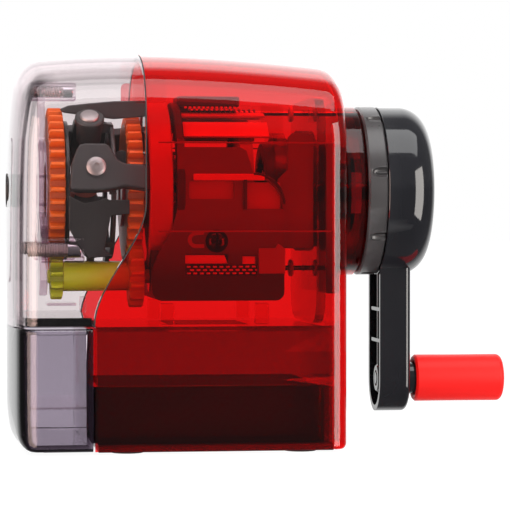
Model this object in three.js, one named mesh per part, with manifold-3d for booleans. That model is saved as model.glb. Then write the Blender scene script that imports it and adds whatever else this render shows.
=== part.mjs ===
// Desk pencil sharpener with a hand crank and roller feed.
// Millimetres. X runs along the pencil, from the entry hole to the crank; Z is up; the feet stand on Z = 0.
import * as THREE from 'three';
import { mergeVertices } from 'three/addons/utils/BufferGeometryUtils.js';
import Module from 'manifold-3d';

const wasm = await Module();
wasm.setup();

// Sides of round pieces: large, middling and small
const FINE = 28;
const MEDIUM = 18;
const COARSE = 10;

// ---------------------------------------------------------------- driving sizes
// Clearances
const fitGap = 0.3;          // between still pieces that touch
const runGap = 0.3;          // between pieces that turn or slide on each other
const seamGap = 0.4;         // between the shells

// Casing, measured from the middle of its front face
const casingLength = 99.9;
const axisZ = 78;            // height of the crank axis, the pencil and its entry
const roofOverAxis = 41.4;
const casingBottom = 0.9;
const halfWidthFront = 34.75;
const sideTaper = 1.75;      // how far each side draws in to the rear
const wall = 2.2;
const noseDrop = 2.4;        // how far the roof falls to the front
const tailDrop = 4;          // how far the roof falls to the rear
const roofApexX = 40;
const roofCrown = 1.2;
const roofCornerY = 13;
const roofCornerZ = 9;
const footChamfer = 1.2;
const frontCrown = 3;        // how far the front's sides stand back from its middle
const frontLean = 1.5;       // how far the front's top stands back
const frontEdgeTop = 8;
const frontEdgeBottom = 8;
const frontEdgeSide = 4.5;
const rearEdgeTop = 8;
const rearEdgeBottom = 2;
const rearEdgeSide = 4;
const leanStartDrop = 33;    // from the axis to where the front begins to lean

// Seam between the clear cover and the housing
const seamTopX = 39.6;
const seamLowX = 24.4;
const seamTopDrop = 4;       // from the axis to the foot of the seam's upper run
const seamLowDrop = 40;      // and to the head of its lower run

// Drawer and the bay that it slides in
const drawerDrop = 40.8;     // from the axis to the drawer front's top
const trayRimDrop = 17.3;    // from there to the tray's rim
const traySideGap = 6.35;    // from the casing's side to the tray's
const trayRearGap = 6.3;     // from the casing's rear face to the tray's
const drawerWall = 2;
const drawerFloor = 1.8;
const bayWall = 1.5;
const deckThickness = 1.6;
const deckGap = 0.4;         // from the drawer front's top to the deck's
const bayRearMargin = 3.8;   // from the casing's rear face to the bay's
const chuteHalfWidth = 17;
const chuteFrontInset = 3;
const chuteRearInset = 1;

// Base
const basePlateBottom = 0.6;
const basePlateThickness = 2.1;
const basePlateMargin = 0.4;
const footRadius = 5;
const footSink = 1.1;
const footInsetX = 9;
const footY = 23;

// Pencil and entry
const entryRadius = 5.3;
const guideRadius = 4.8;
const entryPlateProud = 1;
const entryPlateHalfWidth = 16;
const entryPlateDrop = 27.7;  // from the axis to the plate's lower edge
const entryPlateRise = 15.8;
const entryPlateCorner = 5;

// Front bracket
const bracketX = 9.1;
const bracketThickness = 2.5;
const bracketRadius = 16;
const bossCircle = 30;
const bossRadius = 3.4;
const bossAngles = [90, 216.4, 323.6];
const screwRadius = 1.2;
const screwHeadRadius = 2.6;
const screwHeadLength = 2.6;
const bossReach = 7.2;
const journalRadius = 8.4;
const layArmHalfWidth = 5;   // of the arms that carry the lay shaft's ends
const bossScrewDepth = 5;

// Gears
const gearModule = 1.2;
const frontGearTeeth = 40;
const frontPinionTeeth = 10;
const rearPinionTeeth = 14;
const gearWidth = 4.9;
const gearBacklash = 0.3;
const waveHeight = 0.9;
const waveLobes = 12;
const layAngle = 239.4;
const layShaftRadius = 4.4;
const layJournalRadius = 2.1;
const gearRimGap = 0.4;
const waveRimWidth = 3.2;

// Feed unit
const feedBayLength = 17.6;  // between the faces of the two large gears
const pencilGap = 2.6;       // radius left between the closed rollers
const rollerRadius = 3.9;
const rollerWidth = 5;
const rollerAxleRadius = 1;
const leverAngles = [95, 215, 335];
const armAngles = [165, 275, 35];
const leverPivotRadius = 22.6;
const leverPinRadius = 1.5;
const leverHalfWidth = 4.4;
const leverHead = 3.3;
const leverPinHeadRadius = 2.6;
const armInner = 23.3;
const armThickness = 2.8;
const armWidth = 8;
const shoeWidth = 14;
const shoeLength = 13.2;
const shoeRing = 1.4;
const shoeInner = 17.5;
const feedRingLength = 4;
const feedRingBore = 15.5;
const rivetRadius = 2.6;
const rivetShank = 1.2;
const rivetX = 5.8;          // from the shoe's front face
const leverPinSetback = 7.2;    // from the front gear to the levers' pins
const rollerLead = 1.6;      // how far the rollers stand ahead of the pins
const earWidth = 2;
const earFront = 3;
const earInner = 18;
const earCorner = 2.4;

// Frame
const framePlateThickness = 2.6;
const framePlateRadius = 27;
const troughDrop = 34;       // from the axis to the trough's floor
const troughDepth = 16;
const troughSideGap = 7;     // from the casing's rear width to the trough's
const troughCorner = 4;
const troughRearReach = 4.4; // past the face of the ring gear
const legLength = 5;
const legWidth = 4;
const legFrontInset = 3;
const legRearInset = 9;
const beamFootHalfWidth = 9;
const lugThickness = 2.7;
const upperLugHalfWidth = 4;
const lowerLugHalfWidth = 15.5;
const lowerLugReach = 3.5;   // past the rod
const springSlotHalfWidth = 2.6;
const slideSlotHalfWidth = 5.2;
const chipSlotHalfWidth = 15;
const beamInner = 25.4;
const beamThickness = 3.6;
const beamHalfWidth = 7;

// Cutter head
const cageRadius = 22;
const cageWall = 2.2;
const cageDisc = 2.4;
const neckRadius = 11;
const cutterAngle = 150;
const pointAngle = 10.5;     // half the angle of a sharpened point
const cutterRadius = 6;
const cutterBlades = 10;
const cutterTwist = 150;
const cutterAxleRadius = 1.5;
const tipInset = 2.4;        // from the point's tip to the cage's rear face
const cutterFrontGap = 2.2;
const cutterRearGap = 1.5;
const cutterHubRadius = 2.7;
const windowMargin = 4;
const headWindow = 40;       // half the angle of the window over the cutter, and of the other two
const sideWindow = 34;
const driveWebHalfWidth = 3.4;
const driveWebInner = 2.2;
const driveWebOuter = 5.6;
const shaftBossRadius = 6.4;
const planetTeeth = 10;
const ringTeeth = 19;
const planetWidth = 4;
const ringGearLength = 6;
const ringGearRadius = 14.5;
const ringGearGap = 4.6;     // from the cage to the ring gear
const ringGearSeat = 13.4;   // from the ring gear's face to the bearing plate
const ringFlange = 4;
const ringFlangeThickness = 2.4;

// Rear bearing plate, collar, dial and shaft
const bearingPlateSetback = 8.8;  // from the casing's rear face
const bearingPlateThickness = 2.8;
const bearingPlateSideGap = 6;
const bearingPlateRise = 28;
const bearingPlateCorner = 9;
const shaftRadius = 3;
const bushRadius = 9;
const collarLength = 6.7;
const collarRadius = 25;
const dialLength = 5.9;
const dialRadius = 25.9;
const dialBore = 15;
const dialNotches = 8;
const dialNotchRadius = 3.2;
const dialNotchStart = 15;
const dialNotchOut = 1.4;
const rodCircle = 23.8;
const rodRadius = 0.75;
const rodClearance = 0.25;
const slideTravel = 2.5;
const slideLength = 6.9;
const slideClear = 1.7;      // from the cage to the slide at the end of its travel
const slideRim = 3.4;
const slideLugHalfWidth = 4.4;
const slideLugReach = 2.4;
const springRadius = 1.4;
const springWire = 0.45;
const springTurns = 14;
const springInset = 10.5;    // from the cage's front face

// Crank and knob
const hubRadius = 25.9;
const hubLength = 17.3;
const hubEdge = 8;
const hubWall = 2.4;
const hubBossRadius = 7;
const hubCrown = 1.8;
const armReach = 58;
const armHalfWidth = 10.1;
const armDepth = 8.9;
const armWall = 1.8;
const armRib = 1.4;
const armBossRadius = 4.2;
const knobPinRadius = 2.1;
const knobPinShort = 3;      // how far the pin stops inside the knob
const knobCollarRadius = 4.9;
const knobCollarLength = 3.2;
const knobRadius = 7.2;
const knobLength = 28.4;
const knobEdge = 1.6;
const knobMouthRadius = 5.4;
const knobMouthDepth = 3;
const capRadius = 6;
const capThickness = 1.4;

// ---------------------------------------------------------------- places that follow from the sizes
const casingTop = axisZ + roofOverAxis;
const halfWidthRear = halfWidthFront - sideTaper;
const seamTopZ = axisZ - seamTopDrop;
const seamLowZ = axisZ - seamLowDrop;
const drawerTopZ = axisZ - drawerDrop;
const trayTopZ = drawerTopZ - trayRimDrop;
const trayHalfWidth = halfWidthFront - traySideGap;
const trayRearX = casingLength - trayRearGap;
const troughFloor = -troughDrop;                   // in the frame of the crank axis
const troughRim = troughDepth - troughDrop;
const troughHalfWidth = halfWidthRear - troughSideGap;
const bearingPlateX = casingLength - bearingPlateSetback;
const bearingPlateHalfWidth = halfWidthRear - bearingPlateSideGap;

const pitch = (teeth) => (gearModule * teeth) / 2;
const centreDistance = pitch(frontGearTeeth) + pitch(frontPinionTeeth);
const rearGearTeeth = Math.round((2 * centreDistance) / gearModule) - rearPinionTeeth;
const addendum = 0.9 * gearModule;
const dedendum = 1.15 * gearModule;

const frontGearX = bracketX + bracketThickness + fitGap;
const feedBayX = frontGearX + gearWidth + waveHeight;
const rearGearX = feedBayX + feedBayLength;
const framePlateX = rearGearX + gearWidth + 2 * runGap + 1;
const cageX = framePlateX + framePlateThickness + runGap;
const ringGearX = bearingPlateX - ringGearSeat;
const cageEndX = ringGearX - ringGearGap;
const tipX = cageEndX - tipInset;
const slideX = cageEndX + slideTravel + slideClear;
const rearWallX = casingLength - wall;
const collarX = casingLength + fitGap;
const dialX = collarX + collarLength + runGap;
const hubX = dialX + dialLength + runGap;
const knobX = hubX + armDepth + knobCollarLength + runGap;
const knobEndX = knobX + knobLength;
const leverPivotX = feedBayX + leverPinSetback;
const rollerX = leverPivotX - rollerLead;
const rollerCircle = pencilGap + rollerRadius;
const basePlateTop = basePlateBottom + basePlateThickness;
const trayBottomZ = basePlateTop + runGap;
const deckTopZ = drawerTopZ + deckGap;
const far = 300;             // past every piece, for cuts that go right through

const tanPoint = Math.tan(THREE.MathUtils.degToRad(pointAngle));
const cosPoint = Math.cos(THREE.MathUtils.degToRad(pointAngle));
const apexX = tipX + cutterRadius / cosPoint / tanPoint;  // where the cutter's axis meets the pencil's

// ---------------------------------------------------------------- solids
const rad = THREE.MathUtils.degToRad;

function toSolid(geometry) {
  const bare = geometry.index ? geometry.clone() : geometry;
  for (const name of ['normal', 'uv']) bare.deleteAttribute(name);
  const merged = mergeVertices(bare, 1e-4);
  const p = merged.attributes.position.array;
  const source = merged.index.array;
  const faces = [];
  let volume = 0;
  for (let i = 0; i < source.length; i += 3) {
    const [a, b, c] = [source[i], source[i + 1], source[i + 2]];
    if (a === b || b === c || c === a) continue;
    faces.push(a, b, c);
    const [ax, ay, az] = [p[3 * a], p[3 * a + 1], p[3 * a + 2]];
    const [bx, by, bz] = [p[3 * b], p[3 * b + 1], p[3 * b + 2]];
    const [cx, cy, cz] = [p[3 * c], p[3 * c + 1], p[3 * c + 2]];
    volume += ax * (by * cz - bz * cy) + ay * (bz * cx - bx * cz) + az * (bx * cy - by * cx);
  }
  if (volume < 0) {
    for (let i = 0; i < faces.length; i += 3) [faces[i + 1], faces[i + 2]] = [faces[i + 2], faces[i + 1]];
  }
  return new wasm.Manifold(new wasm.Mesh({
    numProp: 3, vertProperties: Float32Array.from(p), triVerts: Uint32Array.from(faces),
  }));
}

function toGeometry(solid) {
  const { vertProperties, triVerts } = solid.getMesh();
  const geometry = new THREE.BufferGeometry();
  geometry.setAttribute('position', new THREE.BufferAttribute(vertProperties, 3));
  geometry.setIndex(new THREE.BufferAttribute(triVerts, 1));
  geometry.computeVertexNormals();
  return geometry;
}

const join = (solids) => solids.reduce((all, one) => all.add(one));
const cut = (solid, tools) => tools.reduce((rest, tool) => rest.subtract(tool), solid);

function box(x0, x1, y0, y1, z0, z1) {
  const geometry = new THREE.BoxGeometry(x1 - x0, y1 - y0, z1 - z0);
  geometry.translate((x0 + x1) / 2, (y0 + y1) / 2, (z0 + z1) / 2);
  return toSolid(geometry);
}

// A round bar along X.
function bar(radius, x0, x1, y = 0, z = 0, sides = MEDIUM) {
  const geometry = new THREE.CylinderGeometry(radius, radius, x1 - x0, sides);
  geometry.rotateZ(Math.PI / 2).translate((x0 + x1) / 2, y, z);
  return toSolid(geometry);
}

// A round bar along Y.
function crossBar(radius, y0, y1, x, z, sides = COARSE) {
  const geometry = new THREE.CylinderGeometry(radius, radius, y1 - y0, sides);
  geometry.translate(x, (y0 + y1) / 2, z);
  return toSolid(geometry);
}

// A round bar along Z.
function post(radius, z0, z1, x, y, sides = MEDIUM) {
  const geometry = new THREE.CylinderGeometry(radius, radius, z1 - z0, sides);
  geometry.rotateX(Math.PI / 2).translate(x, y, (z0 + z1) / 2);
  return toSolid(geometry);
}

// Turned about the X axis from a profile of [x, radius] points.
function turned(profile, sides = FINE) {
  const geometry = new THREE.LatheGeometry(profile.map(([x, r]) => new THREE.Vector2(r, x)), sides);
  geometry.rotateZ(-Math.PI / 2);
  return toSolid(geometry);
}

// A flat outline of [y, z] points, made thick along X.
function slabX(points, x0, x1) {
  const shape = new THREE.Shape(points.map(([y, z]) => new THREE.Vector2(y, z)));
  const geometry = new THREE.ExtrudeGeometry(shape, { depth: x1 - x0, bevelEnabled: false });
  geometry.applyMatrix4(new THREE.Matrix4().set(0, 0, 1, x0, 1, 0, 0, 0, 0, 1, 0, 0, 0, 0, 0, 1));
  return toSolid(geometry);
}

// A flat outline of [x, z] points, made thick along Y.
function slabY(points, y0, y1) {
  const shape = new THREE.Shape(points.map(([x, z]) => new THREE.Vector2(x, z)));
  const geometry = new THREE.ExtrudeGeometry(shape, { depth: y1 - y0, bevelEnabled: false });
  geometry.applyMatrix4(new THREE.Matrix4().set(1, 0, 0, 0, 0, 0, -1, y1, 0, 1, 0, 0, 0, 0, 0, 1));
  return toSolid(geometry);
}

// Corner points of a rectangle with round corners.
function roundRect(u0, u1, v0, v1, radius, steps = 3) {
  const points = [];
  const corners = [[u1 - radius, v0 + radius, -90], [u1 - radius, v1 - radius, 0],
    [u0 + radius, v1 - radius, 90], [u0 + radius, v0 + radius, 180]];
  for (const [u, v, start] of corners) {
    for (let i = 0; i <= steps; i++) {
      const a = rad(start + (90 * i) / steps);
      points.push([u + radius * Math.cos(a), v + radius * Math.sin(a)]);
    }
  }
  return points;
}

// Turned about the crank axis, whose own frame has it on Y = Z = 0.
const aboutAxis = (solid, degrees) => solid.rotate([degrees, 0, 0]);
const atAngle = (radius, degrees) => [radius * Math.cos(rad(degrees)), radius * Math.sin(rad(degrees))];

// A closed skin through rings of equal length, each a list of [x, y, z].
function loft(rings) {
  const count = rings[0].length;
  const points = rings.flat();
  const faces = [];
  for (let i = 0; i < rings.length - 1; i++) {
    for (let j = 0; j < count; j++) {
      const a = i * count + j;
      const b = i * count + ((j + 1) % count);
      faces.push(a, b, b + count, a, b + count, a + count);
    }
  }
  for (const [first, order] of [[0, 1], [(rings.length - 1) * count, -1]]) {
    const middle = points.length;
    const sum = points.slice(first, first + count).reduce((s, q) => s.map((v, k) => v + q[k]), [0, 0, 0]);
    points.push(sum.map((v) => v / count));
    for (let j = 0; j < count; j++) {
      const a = first + j;
      const b = first + ((j + 1) % count);
      faces.push(...(order > 0 ? [middle, b, a] : [middle, a, b]));
    }
  }
  const geometry = new THREE.BufferGeometry();
  geometry.setAttribute('position', new THREE.Float32BufferAttribute(points.flat(), 3));
  geometry.setIndex(faces);
  return toSolid(geometry);
}

// ---------------------------------------------------------------- gear shapes
// Half the angle of an involute tooth at a radius, for a pitch radius r.
function toothHalfAngle(radius, r, teeth, backlash) {
  const pressure = rad(25);
  const base = r * Math.cos(pressure);
  const here = Math.acos(Math.min(1, base / Math.max(radius, base)));
  const inv = (a) => Math.tan(a) - a;
  return Math.PI / (2 * teeth) - backlash / (2 * r) + inv(pressure) - inv(here);
}

// Outline of a gear as [y, z] points, with the middle of a tooth at the phase angle in degrees.
function gearOutline(teeth, r, { tip = addendum, root = dedendum, backlash = gearBacklash, phase = 0 } = {}) {
  const points = [];
  const radii = [r - root, r, r + tip];
  for (let k = 0; k < teeth; k++) {
    const middle = rad(phase) + (2 * Math.PI * k) / teeth;
    const flank = radii.map((q) => [q, toothHalfAngle(q, r, teeth, backlash)]);
    for (const [q, h] of flank) points.push([q * Math.cos(middle - h), q * Math.sin(middle - h)]);
    for (const [q, h] of flank.reverse()) points.push([q * Math.cos(middle + h), q * Math.sin(middle + h)]);
  }
  return points;
}

// The phase that puts a gear in mesh with one whose tooth middle is at phase a, seen at the angle beta from a.
const meshPhase = (teethA, a, teethB, beta) => beta + 180 + (180 - teethA * (a - beta)) / teethB;

// ---------------------------------------------------------------- casing form
const edge = (d, r) => (d >= r || r <= 0 ? 0 : r - Math.sqrt(r * r - (r - d) * (r - d)));

function roofAt(x) {
  const nose = (roofApexX - x) / roofApexX;
  const tail = (x - roofApexX) / (casingLength - roofApexX);
  return casingTop - (x < roofApexX ? noseDrop * nose * nose : tailDrop * Math.pow(tail, 1.7));
}

const halfWidthAt = (x) => halfWidthFront + (halfWidthRear - halfWidthFront) * Math.max(0, x / casingLength);

// How far the pillowed front stands back at a height and width, fading out behind it.
function standBack(x, y, z) {
  const fade = Math.max(0, 1 - x / (seamLowX + 4));
  const leanStart = axisZ - leanStartDrop;
  const lean = Math.max(0, (z - leanStart) / (casingTop - leanStart));
  return fade * fade * (frontCrown * (y / halfWidthFront) ** 2 + frontLean * lean * lean);
}

// The casing's form, drawn in by an inset; a negative inset makes it larger.
function casingForm(inset, openBottom = false) {
  const round = (r) => Math.max(0.6, r - inset);
  const x0 = inset;
  const x1 = casingLength - inset;
  const bottomZ = openBottom ? -5 : casingBottom + inset;
  const frontDepths = [0, 0.06, 0.25, 0.6, 1.1].map((t) => t * round(frontEdgeTop));
  const rearDepths = [1.1, 0.6, 0.25, 0.06, 0].map((t) => t * round(rearEdgeTop));
  const middle = [0.2, 0.35, 0.5, 0.65, 0.82].map((t) => t * casingLength);
  const stations = [...frontDepths.map((d) => x0 + d), ...middle, ...rearDepths.map((d) => x1 - d)];
  const ring = (x) => {
    const [df, dr] = [x - x0, x1 - x];
    const w = halfWidthAt(x) - inset - edge(df, round(frontEdgeSide)) - edge(dr, round(rearEdgeSide));
    const top = roofAt(x) - inset - edge(df, round(frontEdgeTop)) - edge(dr, round(rearEdgeTop));
    const low = openBottom ? bottomZ : bottomZ + edge(df, round(frontEdgeBottom)) + edge(dr, round(rearEdgeBottom));
    const [a, b] = [round(roofCornerY), round(roofCornerZ)];
    const half = [[w - footChamfer, low], [w - 0.35 * footChamfer, low + 0.35 * footChamfer],
      [w, low + footChamfer], [w, top - roofCrown - b]];
    for (let i = 1; i <= 4; i++) {
      const t = rad(22.5 * i);
      half.push([w - a * (1 - Math.cos(t)), top - roofCrown - b * (1 - Math.sin(t))]);
    }
    half.push([0.5 * (w - a), top - 0.25 * roofCrown]);
    const left = half.map(([y, z]) => [-y, z]).reverse();
    return [[0, low], ...half, [0, top], ...left];
  };
  const place = (x, points) => points.map(([y, z]) => [x + standBack(x - inset, y, z), y, z]);
  const rings = stations.map((x) => place(x, ring(x)));
  const first = ring(x0);
  const centreZ = (first[0][1] + roofAt(x0)) / 2;
  const shrink = (s) => first.map(([y, z]) => [y * s, centreZ + (z - centreZ) * s]);
  return loft([place(x0, shrink(0.3)), place(x0, shrink(0.68)), ...rings]);
}

// Everything in front of the seam, pushed back by a shift.
function aheadOfSeam(shift) {
  const points = [[-far, -far], [seamLowX + shift, -far]];
  for (let i = 0; i <= 10; i++) {
    const t = i / 10;
    const x = seamLowX + (seamTopX - seamLowX) * t * t * (3 - 2 * t);
    points.push([x + shift, seamLowZ + (seamTopZ - seamLowZ) * t]);
  }
  points.push([seamTopX + shift, far], [-far, far]);
  return slabY(points, -far, far);
}

const casingOuter = casingForm(0);
const casingInner = casingForm(wall, true);

// ---------------------------------------------------------------- materials
const plastic = (color, roughness, extra = {}) => new THREE.MeshStandardMaterial(
  { color, roughness, metalness: 0, ...extra });
const materials = {
  redShell: plastic(0xc4101a, 0.12, { transparent: true, opacity: 0.6 }),
  smokeShell: plastic(0x8d868c, 0.1, { transparent: true, opacity: 0.45 }),
  clear: plastic(0xcfc6cc, 0.12, { transparent: true, opacity: 0.5 }),
  orange: plastic(0xee6a12, 0.42),
  lime: plastic(0xb4b82a, 0.4),
  graphite: plastic(0x3d3b3c, 0.45),
  black: plastic(0x26262b, 0.14),
  dial: plastic(0x4c4c4a, 0.4),
  knob: plastic(0xf23030, 0.32),
  rubber: plastic(0x8a3b32, 0.85),
  footRubber: plastic(0x222222, 0.9),
  steel: new THREE.MeshStandardMaterial({ color: 0xb9bcc0, roughness: 0.28, metalness: 1 }),
};

// ---------------------------------------------------------------- scene graph
const sharpener = new THREE.Group();
const casing = new THREE.Group();
const works = new THREE.Group();
works.position.z = axisZ;
sharpener.add(casing, works);
sharpener.position.x = -knobEndX / 2;

function piece(group, name, solid, material) {
  const mesh = new THREE.Mesh(toGeometry(solid), material);
  mesh.name = name;
  group.add(mesh);
  return mesh;
}

// ---------------------------------------------------------------- shells
const entryPrism = (radius) => bar(radius, -far, bracketX - fitGap / 2, 0, axisZ, MEDIUM);
const coverPosts = bossAngles.map((angle) => {
  const [y, z] = atAngle(bossCircle, angle);
  return bar(bossRadius, 0, bracketX - fitGap, y, z + axisZ, COARSE).intersect(casingForm(0.5 * wall));
});
const screwTipX = bracketX - bossScrewDepth;
const postBores = bossAngles.map((angle) => {
  const [y, z] = atAngle(bossCircle, angle);
  return bar(screwRadius + fitGap / 2, screwTipX - 0.5, bracketX + 1, y, z + axisZ, COARSE);
});
const coverShell = casingOuter.subtract(casingInner)
  .intersect(aheadOfSeam(-seamGap / 2))
  .intersect(box(-far, far, -far, far, drawerTopZ + seamGap, far));
piece(casing, 'front_cover',
  cut(join([coverShell, ...coverPosts]), [entryPrism(entryRadius), ...postBores]), materials.smokeShell);

const platePrism = slabX(roundRect(-entryPlateHalfWidth, entryPlateHalfWidth,
  axisZ - entryPlateDrop, axisZ + entryPlateRise, entryPlateCorner), -far, bracketX);
const plateSkin = casingForm(-entryPlateProud).subtract(casingForm(-0.05));
piece(casing, 'entry_plate', plateSkin.intersect(platePrism).subtract(entryPrism(entryRadius)), materials.smokeShell);

const baySolid = (x0, x1, z0, z1) => casingForm(wall + fitGap, true).intersect(box(x0, x1, -far, far, z0, z1));
const shaftHole = (radius, x0, x1) => bar(radius, x0, x1, 0, axisZ, MEDIUM);
const rodHoles = (radius, x0, x1) => [90, 270].map((angle) => {
  const [y, z] = atAngle(rodCircle, angle);
  return bar(radius, x0, x1, y, z + axisZ, COARSE);
});
piece(casing, 'main_housing', cut(
  casingOuter.subtract(casingInner).subtract(aheadOfSeam(seamGap / 2)),
  [shaftHole(bushRadius + fitGap, rearWallX - wall, far),
    ...rodHoles(rodRadius + rodClearance, rearWallX - wall, far)]), materials.redShell);

// The bay that the drawer slides in, with the opening that shavings fall through.
const bayFrontX = seamLowX + seamGap / 2 + 0.8;
const bayRearX = casingLength - bayRearMargin;
const bayClear = trayHalfWidth + runGap + 0.2;
piece(casing, 'drawer_bay', cut(baySolid(bayFrontX, bayRearX, basePlateTop + fitGap, deckTopZ),
  [box(0, bayRearX - bayWall, -bayClear, bayClear, -1, deckTopZ - deckThickness),
    box(cageX + chuteFrontInset, cageEndX - chuteRearInset, -chuteHalfWidth, chuteHalfWidth, 0, far)]),
materials.redShell);

// ---------------------------------------------------------------- drawer
const drawerRearX = seamLowX - seamGap;
const frontBlock = casingOuter.intersect(box(-far, drawerRearX, -far, far, -1, drawerTopZ));
const frontHollow = casingForm(drawerWall).intersect(
  box(-far, drawerRearX - drawerWall, -far, far, casingBottom + drawerFloor, far));
const tray = box(drawerRearX - 2 * drawerWall, trayRearX, -trayHalfWidth, trayHalfWidth, trayBottomZ, trayTopZ);
const trayHollow = box(drawerRearX - 3 * drawerWall, trayRearX - drawerWall, -trayHalfWidth + drawerWall,
  trayHalfWidth - drawerWall, trayBottomZ + drawerFloor, trayTopZ + 1);
piece(casing, 'drawer', frontBlock.add(tray).subtract(frontHollow).subtract(trayHollow), materials.smokeShell);

// ---------------------------------------------------------------- base
const basePlateFrontX = bayFrontX + basePlateMargin;
const basePlateRearX = bayRearX - basePlateMargin;
const basePlateHalfWidth = halfWidthRear - wall - 2 * fitGap;
const footPlaces = [[basePlateFrontX + footInsetX, -footY], [basePlateFrontX + footInsetX, footY],
  [basePlateRearX - footInsetX, -footY], [basePlateRearX - footInsetX, footY]];
const footWells = footPlaces.map(([x, y]) => post(footRadius + fitGap, -5, basePlateBottom + footSink, x, y));
piece(casing, 'base_plate', cut(box(basePlateFrontX, basePlateRearX, -basePlateHalfWidth, basePlateHalfWidth,
  basePlateBottom, basePlateTop), footWells), materials.redShell);
footPlaces.forEach(([x, y], i) => {
  piece(casing, `foot_${i + 1}`, post(footRadius, 0, basePlateBottom + footSink - fitGap / 2, x, y),
    materials.footRubber);
});

// ---------------------------------------------------------------- front bracket and its screws
const [layY, layZ] = atAngle(centreDistance, layAngle);
const spoke = (angle, reach, halfWidth, x0, x1) => aboutAxis(
  box(x0, x1, 0, reach, -halfWidth, halfWidth), angle);
const bossEndX = bracketX + bossReach;
const bracketParts = [bar(bracketRadius, bracketX, bracketX + bracketThickness, 0, 0, FINE)];
for (const angle of bossAngles) {
  const [y, z] = atAngle(bossCircle, angle);
  bracketParts.push(spoke(angle, bossCircle, bossRadius, bracketX, bracketX + bracketThickness));
  bracketParts.push(bar(bossRadius, bracketX, bossEndX, y, z, COARSE));
}
bracketParts.push(spoke(layAngle, centreDistance, layArmHalfWidth, bracketX, bracketX + bracketThickness));
bracketParts.push(bar(layArmHalfWidth, bracketX, bracketX + bracketThickness, layY, layZ, MEDIUM));
bracketParts.push(bar(journalRadius, bracketX, frontGearX + gearWidth - 0.3, 0, 0, MEDIUM));
piece(works, 'front_bracket', cut(join(bracketParts), [
  bar(guideRadius, bracketX - 1, frontGearX + gearWidth + 1, 0, 0, MEDIUM),
  bar(layJournalRadius + runGap, bracketX + 0.7, bracketX + bracketThickness + 1, layY, layZ, COARSE),
  ...bossAngles.map((angle) => bar(screwRadius + fitGap, bracketX - 1, bossEndX + 1,
    ...atAngle(bossCircle, angle), COARSE)),
]), materials.clear);
bossAngles.forEach((angle, i) => {
  const [y, z] = atAngle(bossCircle, angle);
  const screw = join([bar(screwRadius, screwTipX, bossEndX + 1, y, z, COARSE),
    bar(screwHeadRadius, bossEndX + fitGap / 2, bossEndX + screwHeadLength, y, z, COARSE)]);
  const slot = box(bossEndX + screwHeadLength - 0.8, bossEndX + 9, y - 0.4, y + 0.4, z - 4, z + 4);
  piece(works, `bracket_screw_${i + 1}`, screw.subtract(slot), materials.steel);
});

// ---------------------------------------------------------------- gears of the feed drive
const frontGearPhase = 0;
const frontPinionPhase = meshPhase(frontGearTeeth, frontGearPhase, frontPinionTeeth, layAngle);
const rearGearPhase = 0;
const rearPinionPhase = meshPhase(rearGearTeeth, rearGearPhase, rearPinionTeeth, layAngle);
const gearSlab = (teeth, phase, x0, x1) => slabX(gearOutline(teeth, pitch(teeth), { phase }), x0, x1);

// The front gear's rim carries a wave on its rear face, which works the feed levers.
function waveRim(inner, outer, x0, x1, height, lobes) {
  const steps = lobes * 4;
  const rings = [];
  for (let i = 0; i < steps; i++) {
    const a = (2 * Math.PI * i) / steps;
    const x = x1 + (height * (1 - Math.cos(lobes * a))) / 2;
    rings.push([[x0, inner], [x, inner], [x, outer], [x0, outer]].map(
      ([u, r]) => [u, r * Math.cos(a), r * Math.sin(a)]));
  }
  const points = rings.flat();
  const faces = [];
  for (let i = 0; i < steps; i++) {
    const next = ((i + 1) % steps) * 4;
    for (let j = 0; j < 4; j++) {
      const [a, b, c, d] = [i * 4 + j, i * 4 + ((j + 1) % 4), next + ((j + 1) % 4), next + j];
      faces.push(a, b, c, a, c, d);
    }
  }
  const geometry = new THREE.BufferGeometry();
  geometry.setAttribute('position', new THREE.Float32BufferAttribute(points.flat(), 3));
  geometry.setIndex(faces);
  return toSolid(geometry);
}
const rimOuter = pitch(frontGearTeeth) - dedendum - gearRimGap;
const rimInner = rimOuter - waveRimWidth;
const frontGearEndX = frontGearX + gearWidth - waveHeight;
piece(works, 'front_gear', cut(
  gearSlab(frontGearTeeth, frontGearPhase, frontGearX, frontGearEndX)
    .add(waveRim(rimInner, rimOuter, frontGearX + 1, frontGearEndX, waveHeight, waveLobes)),
  [bar(journalRadius + runGap, 0, far, 0, 0, MEDIUM)]), materials.orange);

piece(works, 'rear_gear', cut(gearSlab(rearGearTeeth, rearGearPhase, rearGearX, rearGearX + gearWidth),
  [bar(neckRadius + fitGap, 0, far, 0, 0, MEDIUM)]), materials.orange);

const layEndX = rearGearX + gearWidth + 0.6;
const layShaft = join([
  bar(layShaftRadius, frontGearX + 1, layEndX - 1, 0, 0, MEDIUM),
  gearSlab(frontPinionTeeth, frontPinionPhase, frontGearX + 0.3, frontGearEndX + 0.3),
  gearSlab(rearPinionTeeth, rearPinionPhase, rearGearX + 0.3, rearGearX + gearWidth),
  bar(layJournalRadius, bracketX + 1, framePlateX + framePlateThickness - 0.4, 0, 0, COARSE),
]).translate([0, layY, layZ]);
piece(works, 'lay_shaft', layShaft, materials.lime);

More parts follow.
